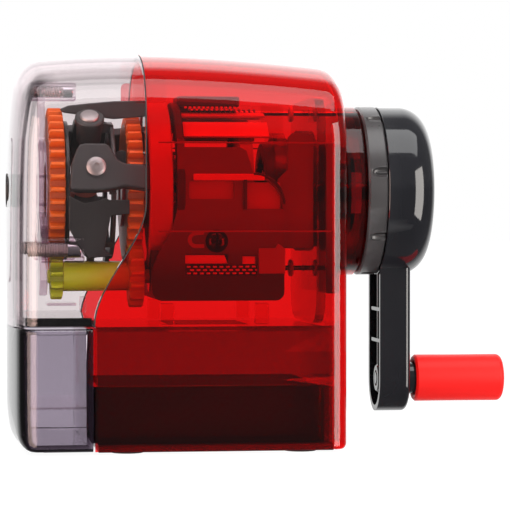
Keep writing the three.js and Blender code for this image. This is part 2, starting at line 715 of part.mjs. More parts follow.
// ---------------------------------------------------------------- frame
const frameEndX = ringGearX + troughRearReach;
const framePlateEndX = framePlateX + framePlateThickness;
const plateDisc = join([
  bar(framePlateRadius, framePlateX, framePlateEndX, 0, 0, FINE),
  spoke(layAngle, centreDistance, layArmHalfWidth, framePlateX, framePlateEndX),
  bar(layArmHalfWidth, framePlateX, framePlateEndX, layY, layZ, MEDIUM),
  slabX(roundRect(-troughHalfWidth, troughHalfWidth, troughFloor, troughRim, troughCorner),
    framePlateX, framePlateEndX),
  box(framePlateX, framePlateEndX, -beamFootHalfWidth, beamFootHalfWidth, beamInner - 2, beamInner + beamThickness),
]);
const troughBlock = slabY(roundRect(framePlateX, frameEndX, troughFloor, troughRim, troughCorner),
  -troughHalfWidth, troughHalfWidth);
const legOuter = troughHalfWidth - troughCorner / 2;
const frameLegs = [-1, 1].flatMap((side) => [framePlateX + legFrontInset, frameEndX - legRearInset].map((x) => box(
  x, x + legLength, side > 0 ? legOuter - legWidth : -legOuter, side > 0 ? legOuter : legWidth - legOuter,
  deckTopZ + fitGap - axisZ, troughFloor + 3)));
const beamEndX = cageEndX - 0.4;
const topBeam = box(framePlateX, beamEndX, -beamHalfWidth, beamHalfWidth, beamInner, beamInner + beamThickness);
const springX = cageX + springInset;
const springEndX = slideX - fitGap;
const lugEndX = springX - fitGap;
const chipSlotX = framePlateEndX + 3;
const upperLug = box(lugEndX - lugThickness, lugEndX, -upperLugHalfWidth, upperLugHalfWidth,
  cageRadius + 2 * runGap, beamInner + 1);
const lowerLug = box(lugEndX - lugThickness, lugEndX, -lowerLugHalfWidth, lowerLugHalfWidth,
  -(rodCircle + lowerLugReach), -(cageRadius + 2 * runGap));
const cageRoom = bar(cageRadius + 1, framePlateEndX, far, 0, 0, FINE);
const springRoom = box(lugEndX, frameEndX + 1, -springSlotHalfWidth, springSlotHalfWidth,
  -(rodCircle + springSlotHalfWidth), 0);
const slideRoom = box(slideX - slideTravel - 2 * runGap, frameEndX + 1, -slideSlotHalfWidth, slideSlotHalfWidth,
  -(rodCircle + slideLugReach + 2 * runGap), 0);
const chipSlot = box(chipSlotX, frameEndX - legLength, -chipSlotHalfWidth, chipSlotHalfWidth, troughFloor - 1, 0);
const frame = cut(join([cut(join([plateDisc, troughBlock]), [cageRoom, chipSlot]), topBeam, upperLug, lowerLug,
  ...frameLegs]), [
  springRoom, slideRoom,
  bar(neckRadius + 2 * runGap, 0, far, 0, 0, MEDIUM),
  bar(layJournalRadius + runGap, 0, far, layY, layZ, COARSE),
  ...[90, 270].map((a) => bar(rodRadius + rodClearance, framePlateEndX + 4, far, ...atAngle(rodCircle, a), COARSE)),
]);
piece(works, 'mechanism_frame', frame, materials.graphite);

// ---------------------------------------------------------------- feed frame: ring of shoes on three arms
const shoeX = feedBayX + 1;
const shoeEndX = shoeX + shoeLength;
const armEndX = framePlateX - fitGap / 2;
const feedRingRadius = centreDistance - layShaftRadius - 0.9;
const feedBore = bar(feedRingBore, 0, far, 0, 0, FINE);
const feedRing = cut(bar(feedRingRadius, shoeEndX - feedRingLength, shoeEndX, 0, 0, FINE), [feedBore]);
const leverRooms = leverAngles.map((angle) => aboutAxis(
  box(0, far, -leverHalfWidth - 1, leverHalfWidth + 1, 0, far), angle - 90));
const feedArms = armAngles.flatMap((angle) => [
  box(shoeX, armEndX, -armWidth / 2, armWidth / 2, armInner, armInner + armThickness),
  box(shoeX, shoeEndX, -shoeWidth / 2, shoeWidth / 2, shoeInner, armInner + armThickness),
].map((solid) => aboutAxis(solid, angle - 90)));
const ears = leverAngles.flatMap((angle) => [-1, 1].map((side) => {
  const inner = leverHalfWidth + runGap;
  const span = side > 0 ? [inner, inner + earWidth] : [-inner - earWidth, -inner];
  const ear = roundRect(leverPivotX - earFront, shoeEndX, earInner, leverPivotRadius + earFront, earCorner, 2);
  return aboutAxis(slabY(ear, ...span), angle - 90);
}));
const pinHoles = leverAngles.map((angle) => aboutAxis(
  crossBar(leverPinRadius + fitGap / 2, -2 * leverHalfWidth, 2 * leverHalfWidth, leverPivotX, leverPivotRadius),
  angle - 90));
const rivetHoles = armAngles.map((angle) => aboutAxis(
  post(rivetShank + fitGap / 2, shoeInner - 1.5, far, shoeX + rivetX, 0, COARSE), angle - 90));
const backRing = bar(feedRingRadius, shoeEndX - shoeRing, shoeEndX, 0, 0, FINE);
piece(works, 'feed_frame', cut(join([cut(feedRing, leverRooms), backRing, ...feedArms, ...ears]),
  [...pinHoles, ...rivetHoles, feedBore]), materials.graphite);

// Rivets that close the shoes, pins that the levers swing on, the levers and their rollers.
armAngles.forEach((angle, i) => {
  const armOuter = armInner + armThickness;
  const rivet = join([post(rivetShank, shoeInner - 0.9, armOuter + 0.5, shoeX + rivetX, 0, COARSE),
    post(rivetRadius, armOuter + 0.1, armOuter + 0.9, shoeX + rivetX, 0, MEDIUM)]);
  piece(works, `shoe_rivet_${i + 1}`, aboutAxis(rivet, angle - 90), materials.steel);
});

const leverOutline = [
  [leverPivotX - 5.6, leverPivotRadius - 6], [leverPivotX - 3, leverPivotRadius + 2.4],
  [leverPivotX, leverPivotRadius + leverHead], [leverPivotX + 4, leverPivotRadius + 2.2],
  [leverPivotX + 5, leverPivotRadius - 3], [rollerX + 4.4, rollerCircle + 6.5],
  [rollerX + 2.4, rollerCircle - 2], [rollerX - 2.4, rollerCircle - 2], [rollerX - 4.2, rollerCircle + 3],
];
leverAngles.forEach((angle, i) => {
  const turn = (solid) => aboutAxis(solid, angle - 90);
  const lever = cut(slabY(leverOutline, -leverHalfWidth, leverHalfWidth), [
    box(0, far, -rollerWidth / 2 - runGap, rollerWidth / 2 + runGap, 0, rollerCircle + rollerRadius + 0.7),
    crossBar(leverPinRadius + runGap, -far, far, leverPivotX, leverPivotRadius),
    crossBar(rollerAxleRadius + fitGap / 2, -far, far, rollerX, rollerCircle, COARSE),
  ]);
  piece(works, `feed_lever_${i + 1}`, turn(lever), materials.graphite);
  const pinEnd = leverHalfWidth + runGap + earWidth + 0.1;
  const pin = join([crossBar(leverPinRadius, -pinEnd, pinEnd, leverPivotX, leverPivotRadius),
    crossBar(leverPinHeadRadius, pinEnd, pinEnd + 1, leverPivotX, leverPivotRadius)]);
  piece(works, `lever_pin_${i + 1}`, turn(pin), materials.steel);
  const axleEnd = leverHalfWidth - 0.2;
  piece(works, `roller_axle_${i + 1}`,
    turn(crossBar(rollerAxleRadius, -axleEnd, axleEnd, rollerX, rollerCircle, COARSE)), materials.steel);
  const tyre = crossBar(rollerRadius, -rollerWidth / 2, rollerWidth / 2, rollerX, rollerCircle, MEDIUM)
    .subtract(crossBar(rollerAxleRadius + runGap, -far, far, rollerX, rollerCircle, COARSE));
  piece(works, `feed_roller_${i + 1}`, turn(tyre), materials.rubber);
});

// ---------------------------------------------------------------- cutter head
const headFrame = (solid) => aboutAxis(solid, cutterAngle - 90);
const windowCut = (angle, spread, x0, x1) => {
  const reach = cageRadius + 3;
  const points = [[0, 0], [reach / Math.cos(rad(spread)) * Math.cos(rad(90 - spread)), reach],
    [-reach / Math.cos(rad(spread)) * Math.cos(rad(90 - spread)), reach]];
  return aboutAxis(slabX(points, x0, x1), angle - 90);
};
const cageTube = cut(bar(cageRadius, cageX, cageEndX, 0, 0, FINE),
  [bar(cageRadius - cageWall, cageX + cageDisc, cageEndX - cageDisc, 0, 0, FINE)]);
function alongCutter(solid) {                      // from a frame where the cutter lies on X, apex at the origin
  return solid.rotate([0, pointAngle, 0]).translate([apexX, 0, 0]);
}
const fromApex = (x) => (x - apexX) / cosPoint;
const cutterStart = fromApex(cageX + cageDisc + cutterFrontGap);
const cutterEnd = fromApex(cageEndX - cageDisc - cutterRearGap);
const planetStart = fromApex(ringGearX + 1);
const planetEnd = planetStart + planetWidth;
const axleEnd = planetEnd + 0.8;
const shankEnd = planetStart + 0.5;
const bossX = ringGearX + ringGearLength + 1.2;
const bossEnd = bearingPlateX - 0.6;
const shaftStartX = bossX + 1;
const driveWeb = aboutAxis(box(cageEndX - 0.5, bossX + 0.5, -driveWebHalfWidth, driveWebHalfWidth,
  driveWebInner, driveWebOuter), cutterAngle + 180 - 90);
const cageSolid = cut(join([cageTube, bar(neckRadius, rearGearX - 1, cageX + 0.5, 0, 0, MEDIUM), driveWeb,
  bar(shaftBossRadius, bossX, bossEnd, 0, 0, MEDIUM)]), [
  windowCut(cutterAngle, headWindow, cageX + windowMargin, cageEndX - windowMargin),
  windowCut(cutterAngle + 120, sideWindow, cageX + windowMargin, cageEndX - windowMargin),
  windowCut(cutterAngle - 120, sideWindow, cageX + windowMargin, cageEndX - windowMargin),
  bar(guideRadius, 0, cageX + cageDisc + 1, 0, 0, MEDIUM),
  headFrame(alongCutter(bar(cutterAxleRadius + fitGap / 2, cutterStart - 3.2, cutterEnd + 1, 0, 0, COARSE))),
  headFrame(alongCutter(bar(cutterHubRadius + 0.4, cutterEnd + 0.4, planetStart + 1, 0, 0, MEDIUM))),
  bar(shaftRadius + fitGap / 2, shaftStartX - fitGap, bearingPlateX, 0, 0, MEDIUM),
]);
piece(works, 'cutter_head', cageSolid, materials.graphite);

// The cutter: a steel roll with helical blades, running on a plain axle.
function cutterRoll() {
  const steps = 7;
  const blades = [];
  for (let i = 0; i < cutterBlades; i++) {
    const a = 360 / cutterBlades;
    blades.push([cutterRadius, i * a], [cutterRadius - 0.25, (i + 0.28) * a], [cutterRadius - 1.3, (i + 0.62) * a]);
  }
  const rings = [];
  for (let s = 0; s <= steps; s++) {
    const x = cutterStart + ((cutterEnd - cutterStart) * s) / steps;
    rings.push(blades.map(([r, a]) => {
      const t = rad(a + (cutterTwist * s) / steps);
      return [x, r * Math.cos(t), r * Math.sin(t)];
    }));
  }
  return loft(rings);
}
const cutterBore = bar(cutterAxleRadius + runGap, cutterStart - 5, planetEnd + 5, 0, 0, COARSE);
piece(works, 'helical_cutter', headFrame(alongCutter(cut(join([cutterRoll(),
  bar(cutterHubRadius, cutterEnd - 1, shankEnd, 0, 0, MEDIUM)]), [cutterBore]))), materials.steel);
piece(works, 'cutter_axle', headFrame(alongCutter(
  bar(cutterAxleRadius, cutterStart - 2.9, axleEnd, 0, 0, COARSE))), materials.steel);

// Planet and ring are bevelled: their teeth all point at the apex.
const planetCone = Math.atan2(Math.sin(rad(pointAngle)),
  ringTeeth / planetTeeth - Math.cos(rad(pointAngle)));
const ringCone = planetCone + rad(pointAngle);
function coneGear(outline, x0, x1) {               // outline at unit distance from the apex at the origin
  return loft([x0, x1].map((x) => outline.map(([y, z]) => [x, -x * y, -x * z])));
}
const coneModule = (2 * Math.tan(planetCone)) / planetTeeth;
const coneBacklash = 0.3 * coneModule;
const planetOutline = gearOutline(planetTeeth, Math.tan(planetCone),
  { tip: 0.75 * coneModule, root: 1.0 * coneModule, backlash: coneBacklash, phase: 90 });
const planet = cut(coneGear(planetOutline, planetStart, planetEnd),
  [cutterBore, bar(cutterHubRadius + fitGap, planetStart - 2, shankEnd + 0.2, 0, 0, MEDIUM)]);
piece(works, 'cutter_gear', headFrame(alongCutter(planet)), materials.steel);
const ringOutline = gearOutline(ringTeeth, Math.tan(ringCone),
  { tip: 1.05 * coneModule, root: 0.7 * coneModule, backlash: -coneBacklash, phase: cutterAngle });
const ringCavity = coneGear(ringOutline, ringGearX - 2 - apexX, ringGearX + ringGearLength + 0.5 - apexX)
  .translate([apexX, 0, 0]);
const ringCup = join([bar(ringGearRadius, ringGearX, bearingPlateX - fitGap / 2, 0, 0, FINE),
  bar(ringGearRadius + ringFlange, bearingPlateX - ringFlangeThickness, bearingPlateX - fitGap / 2, 0, 0, FINE)]);
piece(works, 'ring_gear', cut(ringCup, [ringCavity,
  bar(ringGearRadius - 3, ringGearX + ringGearLength, bearingPlateX + 1, 0, 0, MEDIUM)]), materials.orange);

// ---------------------------------------------------------------- rear bearing plate, shaft, collar, dial
const plateOutline = roundRect(-bearingPlateHalfWidth, bearingPlateHalfWidth, deckTopZ + fitGap - axisZ,
  bearingPlateRise, bearingPlateCorner);
piece(works, 'bearing_plate', cut(slabX(plateOutline, bearingPlateX, bearingPlateX + bearingPlateThickness),
  [bar(shaftRadius + runGap, 0, far, 0, 0, MEDIUM),
    ...[90, 270].map((a) => bar(rodRadius + rodClearance, 0, far, ...atAngle(rodCircle, a), COARSE))]),
materials.graphite);

const bushX = bearingPlateX + bearingPlateThickness + fitGap;
piece(works, 'rear_collar', cut(join([bar(bushRadius, bushX, collarX + 1, 0, 0, MEDIUM),
  turned([[collarX, 0], [collarX, collarRadius], [collarX + collarLength - 1, collarRadius],
    [collarX + collarLength, collarRadius - 1], [collarX + collarLength, 0]], FINE),
  bar(dialBore - runGap, collarX, hubX - runGap, 0, 0, FINE)]),
[bar(shaftRadius + runGap, 0, far, 0, 0, MEDIUM),
  ...[90, 270].map((a) => bar(rodRadius + rodClearance, 0, far, ...atAngle(rodCircle, a), COARSE))]),
materials.redShell);

const gripCuts = [];
for (let i = 0; i < dialNotches; i++) {
  const [y, z] = atAngle(dialRadius + dialNotchOut, dialNotchStart + (360 / dialNotches) * i);
  gripCuts.push(bar(dialNotchRadius, dialX + 1, hubX + 1, y, z, COARSE));
}
piece(works, 'adjust_dial', cut(bar(dialRadius, dialX, dialX + dialLength, 0, 0, FINE),
  [bar(dialBore, 0, far, 0, 0, FINE), ...gripCuts]), materials.dial);

// Slide that the dial pushes against two springs; its rods run through the frame, plate and collar.
const slideInner = ringGearRadius + 2 * runGap;
const slideBore = bar(slideInner, 0, far, 0, 0, FINE);
const slideRing = cut(bar(slideInner + slideRim, slideX + 3, slideX + slideLength, 0, 0, FINE), [slideBore]);
const slideLugs = [90, 270].map((a) => aboutAxis(
  box(slideX, slideX + slideLength, -slideLugHalfWidth, slideLugHalfWidth, slideInner + 1.4,
    rodCircle + slideLugReach), a - 90));
const slideSolid = cut(join([slideRing, ...slideLugs]), [slideBore,
  ...[90, 270].map((a) => bar(rodRadius + 0.1, 0, far, ...atAngle(rodCircle, a), COARSE))]);
piece(works, 'adjust_slide', slideSolid, materials.redShell);
['upper', 'lower'].forEach((label, i) => {
  const [y, z] = atAngle(rodCircle, i === 0 ? 90 : 270);
  piece(works, `adjust_rod_${label}`,
    bar(rodRadius, lugEndX - lugThickness + slideTravel + fitGap, dialX - runGap, y, z, COARSE), materials.steel);
  piece(works, `return_spring_${label}`, coil(springX, springEndX, y, z), materials.steel);
});

// A coil spring along X, with its ends on the first and last turn.
function coil(x0, x1, y, z) {
  class Helix extends THREE.Curve {
    getPoint(t, target = new THREE.Vector3()) {
      const a = 2 * Math.PI * springTurns * t;
      const r = springRadius - springWire / 2;
      const x = x0 + springWire / 2 + (x1 - x0 - springWire) * t;
      return target.set(x, y + r * Math.cos(a), z + r * Math.sin(a));
    }
  }
  const section = new THREE.Shape();
  for (let i = 0; i < 4; i++) {
    const [u, v] = atAngle(springWire / 2, 90 * i);
    if (i === 0) section.moveTo(u, v);
    else section.lineTo(u, v);
  }
  return toSolid(new THREE.ExtrudeGeometry(section, { steps: springTurns * 6, extrudePath: new Helix() }));
}

// ---------------------------------------------------------------- crank
const hubEndX = hubX + hubLength;
function domeProfile(radius, length, cornerRadius) {
  const profile = [[hubX, 0], [hubX, radius]];
  for (let i = 0; i <= 3; i++) {
    const t = rad(30 * i);
    profile.push([hubX + length - hubCrown - cornerRadius * (1 - Math.sin(t)),
      radius - cornerRadius * (1 - Math.cos(t))]);
  }
  profile.push([hubX + length - 0.5, (radius - cornerRadius) * 0.5], [hubX + length, 0]);
  return profile;
}
const hubHollow = turned(domeProfile(hubRadius - hubWall, hubLength - hubWall, hubEdge - hubWall), FINE)
  .translate([-0.2, 0, 0]);
const hubBoss = bar(hubBossRadius, hubX, hubEndX - 1, 0, 0, MEDIUM);
const hubCap = turned(domeProfile(hubRadius, hubLength, hubEdge), FINE).subtract(hubHollow);
const armEnd = hubX + armDepth;
const armBlock = (inset, x0, x1) => {
  const w = armHalfWidth - inset;
  const points = [[-w, 0]];
  for (let i = 0; i <= 10; i++) {
    const t = rad(180 + 18 * i);
    points.push([w * Math.cos(t), -armReach + w * Math.sin(t)]);
  }
  points.push([w, 0]);
  return slabX(points, x0, x1);
};
const armBelow = bar(hubRadius - 1, 0, far, 0, 0, FINE);
const crossRibs = [0.42, 0.72].map((t) => {
  const z = -hubRadius - t * (armReach - hubRadius);
  return box(hubX + 1, armEnd - 1, -armHalfWidth + 1, armHalfWidth - 1, z - armRib / 2, z + armRib / 2);
});
const armSolid = join([
  cut(armBlock(0, hubX, armEnd), [armBlock(armWall, hubX - 1, armEnd - armWall)]),
  box(hubX + 1, armEnd - 1, -armRib / 2, armRib / 2, -armReach, -hubRadius + 1), ...crossRibs,
]).subtract(armBelow);
const crankSolid = cut(join([hubCap, hubBoss, armSolid,
  bar(armBossRadius, hubX + 0.6, armEnd - 0.5, 0, -armReach, MEDIUM)]), [
  bar(shaftRadius + fitGap / 2, hubX - 1, hubEndX - 4, 0, 0, MEDIUM),
  bar(screwRadius + fitGap, hubX, hubEndX + 1, 0, 0, COARSE),
  bar(capRadius + fitGap, hubEndX - capThickness - 0.9, hubEndX + 2, 0, 0, MEDIUM),
  bar(knobPinRadius + fitGap / 2, hubX - 1, armEnd + 1, 0, -armReach, COARSE),
]);
piece(works, 'crank_arm', crankSolid, materials.black);
piece(works, 'hub_cap',
  bar(capRadius, hubEndX - capThickness - 0.7, hubEndX - 0.5, 0, 0, MEDIUM), materials.black);

const shaftEndX = hubEndX - 4.4;
const shaftThread = cut(bar(shaftRadius, shaftStartX, shaftEndX, 0, 0, MEDIUM),
  [bar(screwRadius + fitGap / 2, shaftEndX - 6, far, 0, 0, COARSE)]);
piece(works, 'main_shaft', shaftThread, materials.steel);

const pinEndX = knobEndX - knobPinShort;
const knobPin = join([
  bar(knobPinRadius, hubX + 0.4, pinEndX, 0, -armReach, COARSE),
  bar(knobCollarRadius, armEnd + 0.1, armEnd + knobCollarLength, 0, -armReach, MEDIUM)]);
piece(works, 'knob_pin', knobPin, materials.black);
const knobProfile = [[knobX, knobPinRadius + runGap], [knobX, knobRadius - 0.5], [knobX + 0.5, knobRadius]];
for (let i = 0; i <= 4; i++) {
  const t = rad(22.5 * i);
  knobProfile.push([knobEndX - knobEdge * (1 - Math.sin(t)), knobRadius - knobEdge * (1 - Math.cos(t))]);
}
knobProfile.push([knobEndX, 0], [pinEndX + runGap, 0], [pinEndX + runGap, knobPinRadius + runGap],
  [knobX, knobPinRadius + runGap]);
const knobMouth = cut(bar(knobMouthRadius, knobX - 1, knobX + knobMouthDepth, 0, 0, MEDIUM),
  [bar(knobPinRadius + runGap + 1, knobX - 2, knobX + knobMouthDepth + 1, 0, 0, MEDIUM)]);
piece(works, 'crank_knob', turned(knobProfile, FINE).subtract(knobMouth).translate([0, 0, -armReach]),
  materials.knob);

export default sharpener;
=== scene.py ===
"""Desk pencil sharpener: clear red housing, smoke cover and drawer, crank, and a geared roller feed."""
import itertools
import math
import bmesh
import bpy
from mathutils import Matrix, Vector

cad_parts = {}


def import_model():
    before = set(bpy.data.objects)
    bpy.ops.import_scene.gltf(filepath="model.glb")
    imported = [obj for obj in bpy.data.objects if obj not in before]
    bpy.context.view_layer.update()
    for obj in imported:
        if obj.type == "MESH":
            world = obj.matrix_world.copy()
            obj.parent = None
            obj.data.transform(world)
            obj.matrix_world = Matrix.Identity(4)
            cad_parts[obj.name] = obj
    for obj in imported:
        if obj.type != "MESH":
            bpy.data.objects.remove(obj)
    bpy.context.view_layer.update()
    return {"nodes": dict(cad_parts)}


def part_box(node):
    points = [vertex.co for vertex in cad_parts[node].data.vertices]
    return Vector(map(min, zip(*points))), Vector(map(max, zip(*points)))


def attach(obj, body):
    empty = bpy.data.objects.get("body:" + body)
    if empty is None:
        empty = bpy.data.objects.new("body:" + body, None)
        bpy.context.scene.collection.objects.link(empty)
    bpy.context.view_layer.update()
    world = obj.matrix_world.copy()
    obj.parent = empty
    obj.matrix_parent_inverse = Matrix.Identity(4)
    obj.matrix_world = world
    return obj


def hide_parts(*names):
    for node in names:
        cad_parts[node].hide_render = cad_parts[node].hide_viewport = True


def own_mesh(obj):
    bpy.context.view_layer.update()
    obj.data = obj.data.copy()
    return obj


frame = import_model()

MM = 0.001

# -------------------------------------------------- sizes, in millimetres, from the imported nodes


def span(node):
    """Lowest and highest corner of a node."""
    return [Vector(corner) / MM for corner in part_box(node)]


FRONT_X = span("front_cover")[0].x
REAR_X = span("main_housing")[1].x
LENGTH = REAR_X - FRONT_X
ROOF_Z = span("front_cover")[1].z
HALF_WIDTH = span("front_cover")[1].y
HOUSING_LOW = span("main_housing")[0].z
COVER_LOW = span("front_cover")[0].z
DRAWER_TOP = span("drawer")[1].z
AXIS_Z = sum(corner.z for corner in span("adjust_dial")) / 2
CRANK_AXIS = (0, AXIS_Z)
SIDE_TAPER = 1.75
WALL = 2.2
SEAM_GAP = 0.4
SEAM_TOP_X, SEAM_TOP_Z = FRONT_X + 39.6, 74.0
SEAM_LOW_X, SEAM_LOW_Z = FRONT_X + 24.4, 38.0
ENTRY_RADIUS = 5.3
ARM_THICK = 9.6
RODS = ("adjust_rod_upper", "adjust_rod_lower")
LAY_OUT, LAY_ANGLE = 30, 239.4
DIAL_POINTS = 8


def on_circle(radius, degrees):
    """The y and z of a point round the crank's axis."""
    angle = math.radians(degrees)
    return radius * math.cos(angle), AXIS_Z + radius * math.sin(angle)


LAY_AXIS = on_circle(LAY_OUT, LAY_ANGLE)

# -------------------------------------------------- work in edit mode


def clear_selection():
    if bpy.context.object and bpy.context.object.mode != "OBJECT":
        bpy.ops.object.mode_set(mode="OBJECT")
    bpy.ops.object.select_all(action="DESELECT")


def only(piece):
    """Selects one piece alone and makes it the active one."""
    clear_selection()
    piece.select_set(True)
    bpy.context.view_layer.objects.active = piece


def edit(piece, everything=False):
    """Opens a piece in edit mode, with all or none of it selected, and gives its mesh."""
    only(piece)
    bpy.ops.object.mode_set(mode="EDIT")
    bpy.ops.mesh.select_mode(type="VERT")
    bpy.ops.mesh.select_all(action="SELECT" if everything else "DESELECT")
    return bmesh.from_edit_mesh(piece.data)


def leave():
    bpy.ops.object.mode_set(mode="OBJECT")


def select(mesh, kind, test):
    """Selects the faces or edges that pass the test, and nothing else."""
    bpy.ops.mesh.select_mode(type=kind)
    bpy.ops.mesh.select_all(action="DESELECT")
    for part in mesh.faces if kind == "FACE" else mesh.edges:
        if test(part):
            part.select_set(True)
    mesh.select_flush_mode()


def nudge(vertex, move):
    """Moves one vertex and leaves the others where they are."""
    vertex.select = True
    bpy.ops.transform.translate(value=move)
    vertex.select = False


def press(piece, shift):
    """Moves each vertex along X by what shift gives for its place, in millimetres."""
    mesh = edit(piece)
    for vertex in mesh.verts:
        move = shift(*(vertex.co / MM))
        if abs(move) > 1e-5:
            nudge(vertex, (move * MM, 0, 0))
    leave()
    return piece


def settle(piece):
    """Applies the piece's place, so that it sits at the origin unturned."""
    only(piece)
    bpy.ops.object.transform_apply(location=True, rotation=True, scale=True)
    return piece


def apply_modifier(piece, kind, **settings):
    only(piece)
    modifier = piece.modifiers.new(kind.title(), kind)
    for name, value in settings.items():
        setattr(modifier, name, value)
    bpy.ops.object.modifier_apply(modifier=modifier.name)
    return piece


def mend(piece, distance=0.001):
    """Merges points that lie on each other and turns the faces outwards."""
    edit(piece, True)
    bpy.ops.mesh.remove_doubles(threshold=distance * MM)
    bpy.ops.mesh.normals_make_consistent(inside=False)
    leave()
    return piece


def soften(piece, width, segments=2, angle=30):
    """Rounds the edges that are sharper than an angle."""
    return apply_modifier(piece, "BEVEL", width=width * MM, segments=segments, limit_method="ANGLE",
                          angle_limit=math.radians(angle), use_clamp_overlap=True, miter_outer="MITER_ARC")


def smooth(piece, angle=32):
    only(piece)
    bpy.ops.object.shade_smooth_by_angle(angle=math.radians(angle))
    return piece


def eased(piece, width, segments=2, angle=30):
    return smooth(soften(piece, width, segments, angle))


def cut(piece, *tools):
    for tool in tools:
        apply_modifier(piece, "BOOLEAN", object=tool, operation="DIFFERENCE", solver="EXACT")
        bpy.data.objects.remove(tool)
    return piece


def walled(piece, thickness):
    """Gives an outward-facing skin a wall on its inside."""
    return apply_modifier(piece, "SOLIDIFY", thickness=thickness * MM, offset=-1, use_even_offset=True,
                          use_quality_normals=True, use_rim=True)


def unite(*pieces):
    """Makes one object of several."""
    clear_selection()
    for piece in pieces:
        piece.select_set(True)
    bpy.context.view_layer.objects.active = pieces[0]
    bpy.ops.object.join()
    return pieces[0]


def twin_of(piece):
    """A copy with its own mesh, at the origin."""
    twin = bpy.data.objects.new(piece.name, piece.data.copy())
    bpy.context.scene.collection.objects.link(twin)
    return twin


def mirrored(piece, scale=(1, -1, 1)):
    """A copy on the other side of the middle."""
    twin = twin_of(piece)
    twin.scale = scale
    return mend(settle(twin), 0.0002)


def both_sides(*pieces):
    """The pieces and their mirror images as one object."""
    return unite(*pieces, *[mirrored(piece) for piece in pieces])


def about_axis(piece, degrees, axis=CRANK_AXIS):
    """Turns a piece about a line along X, which is the crank's axis unless another y and z are given."""
    turn = math.radians(degrees)
    y, z = (part * MM for part in axis)
    turned_y = y * math.cos(turn) - z * math.sin(turn)
    turned_z = y * math.sin(turn) + z * math.cos(turn)
    piece.location = (0, y - turned_y, z - turned_z)
    piece.rotation_euler = (turn, 0, 0)
    return settle(piece)


def copy_of(piece, degrees):
    """A copy turned about the crank's axis."""
    return about_axis(twin_of(piece), degrees)


def finish(piece, name, body, material, slot, *nodes):
    """Names a finished piece, gives it its material and body, and hides the nodes it stands for."""
    settle(piece)
    apply_modifier(piece, "WEIGHTED_NORMAL", keep_sharp=True, weight=70)
    piece.name = piece.data.name = name
    piece.data.materials.clear()
    piece.data.materials.append(material)
    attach(piece, body)
    if nodes:
        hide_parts(*nodes)
    return piece


# -------------------------------------------------- outlines, as points in millimetres


def arc(u, v, radius, start, end, steps=8):
    """Points of an arc, from one angle to another."""
    angles = [math.radians(start + (end - start) * i / steps) for i in range(steps + 1)]
    return [(u + radius * math.cos(a), v + radius * math.sin(a)) for a in angles]


def round_rect(u0, u1, v0, v1, radius, steps=5):
    left, right, low, high = u0 + radius, u1 - radius, v0 + radius, v1 - radius
    return [*arc(right, low, radius, -90, 0, steps), *arc(right, high, radius, 0, 90, steps),
            *arc(left, high, radius, 90, 180, steps), *arc(left, low, radius, 180, 270, steps)]


def beside(x, *points):
    """Points given from a place along X and from the height of the crank's axis."""
    return [(x + u, AXIS_Z + v) for u, v in points]


def hoop(x0, x1, inner, outer, along, drop, inside=0):
    """Closed profile of a ring, as x and radius. Its outer edges are bevelled by along and drop, and its inner
    ones by along and inside."""
    points = [(x0, inner + inside), (x0, outer - drop), (x0 + along, outer), (x1 - along, outer),
              (x1, outer - drop), (x1, inner + inside)]
    if inside:
        points += [(x1 - along, inner), (x0 + along, inner)]
    return [*points, points[0]]


# -------------------------------------------------- ways to make a piece

CENTRE = 0.001


def traced(places, fill):
    """A circle with each point moved to its place, left in edit mode and selected all over."""
    clear_selection()
    bpy.ops.mesh.primitive_circle_add(vertices=len(places), radius=MM, fill_type=fill)
    piece = bpy.context.object
    mesh = edit(piece)
    mesh.verts.ensure_lookup_table()
    for vertex, place in zip(list(mesh.verts), places):
        nudge(vertex, Vector(place) * MM - vertex.co)
    bpy.ops.mesh.select_all(action="SELECT")
    return piece


def turned(profile, sides=72, axis=CRANK_AXIS):
    """A piece turned about a line along X, pulled ring by ring through points of x and radius."""
    y, z = (part * MM for part in axis)
    x, radius = profile[0]
    clear_selection()
    bpy.ops.mesh.primitive_circle_add(vertices=sides, radius=max(radius, CENTRE) * MM, location=(x * MM, y, z),
                                      rotation=(0, math.pi / 2, 0), fill_type="NOTHING")
    piece = settle(bpy.context.object)
    edit(piece, True)
    for next_x, next_radius in profile[1:]:
        bpy.ops.mesh.extrude_region_move(TRANSFORM_OT_translate={"value": ((next_x - x) * MM, 0, 0)})
        ratio = max(next_radius, CENTRE) / max(radius, CENTRE)
        if abs(ratio - 1) > 1e-9:
            bpy.ops.transform.resize(value=(1, ratio, ratio), center_override=(next_x * MM, y, z))
        x, radius = next_x, next_radius
    leave()
    return mend(piece, 0.004)


def slab(outline, low, high, axis="X"):
    """A flat outline made thick along an axis. The outline is y and z for X, x and z for Y, x and y for Z."""
    at = "XYZ".index(axis)
    piece = traced([(*point[:at], low, *point[at:]) for point in outline], "NGON")
    step = [(high - low) * MM if name == axis else 0 for name in "XYZ"]
    bpy.ops.mesh.extrude_region_move(TRANSFORM_OT_translate={"value": step})
    leave()
    return mend(piece)


def block(x0, x1, y0, y1, z0, z1):
    sides = ((x0, x1), (y0, y1), (z0, z1))
    clear_selection()
    bpy.ops.mesh.primitive_cube_add(size=1, location=[(low + high) / 2 * MM for low, high in sides],
                                    scale=[(high - low) * MM for low, high in sides])
    return settle(bpy.context.object)


def rod(radius, start, end, place, sides=24, axis="X"):
    """A round bar along X at a y and z, or along Y at an x and z."""
    middle, (u, v) = (start + end) / 2, place
    if axis == "X":
        location, turn = (middle, u, v), (0, math.pi / 2, 0)
    else:
        location, turn = (u, middle, v), (math.pi / 2, 0, 0)
    clear_selection()
    bpy.ops.mesh.primitive_cylinder_add(vertices=sides, radius=radius * MM, depth=(end - start) * MM,
                                        location=[part * MM for part in location], rotation=turn)
    return settle(bpy.context.object)


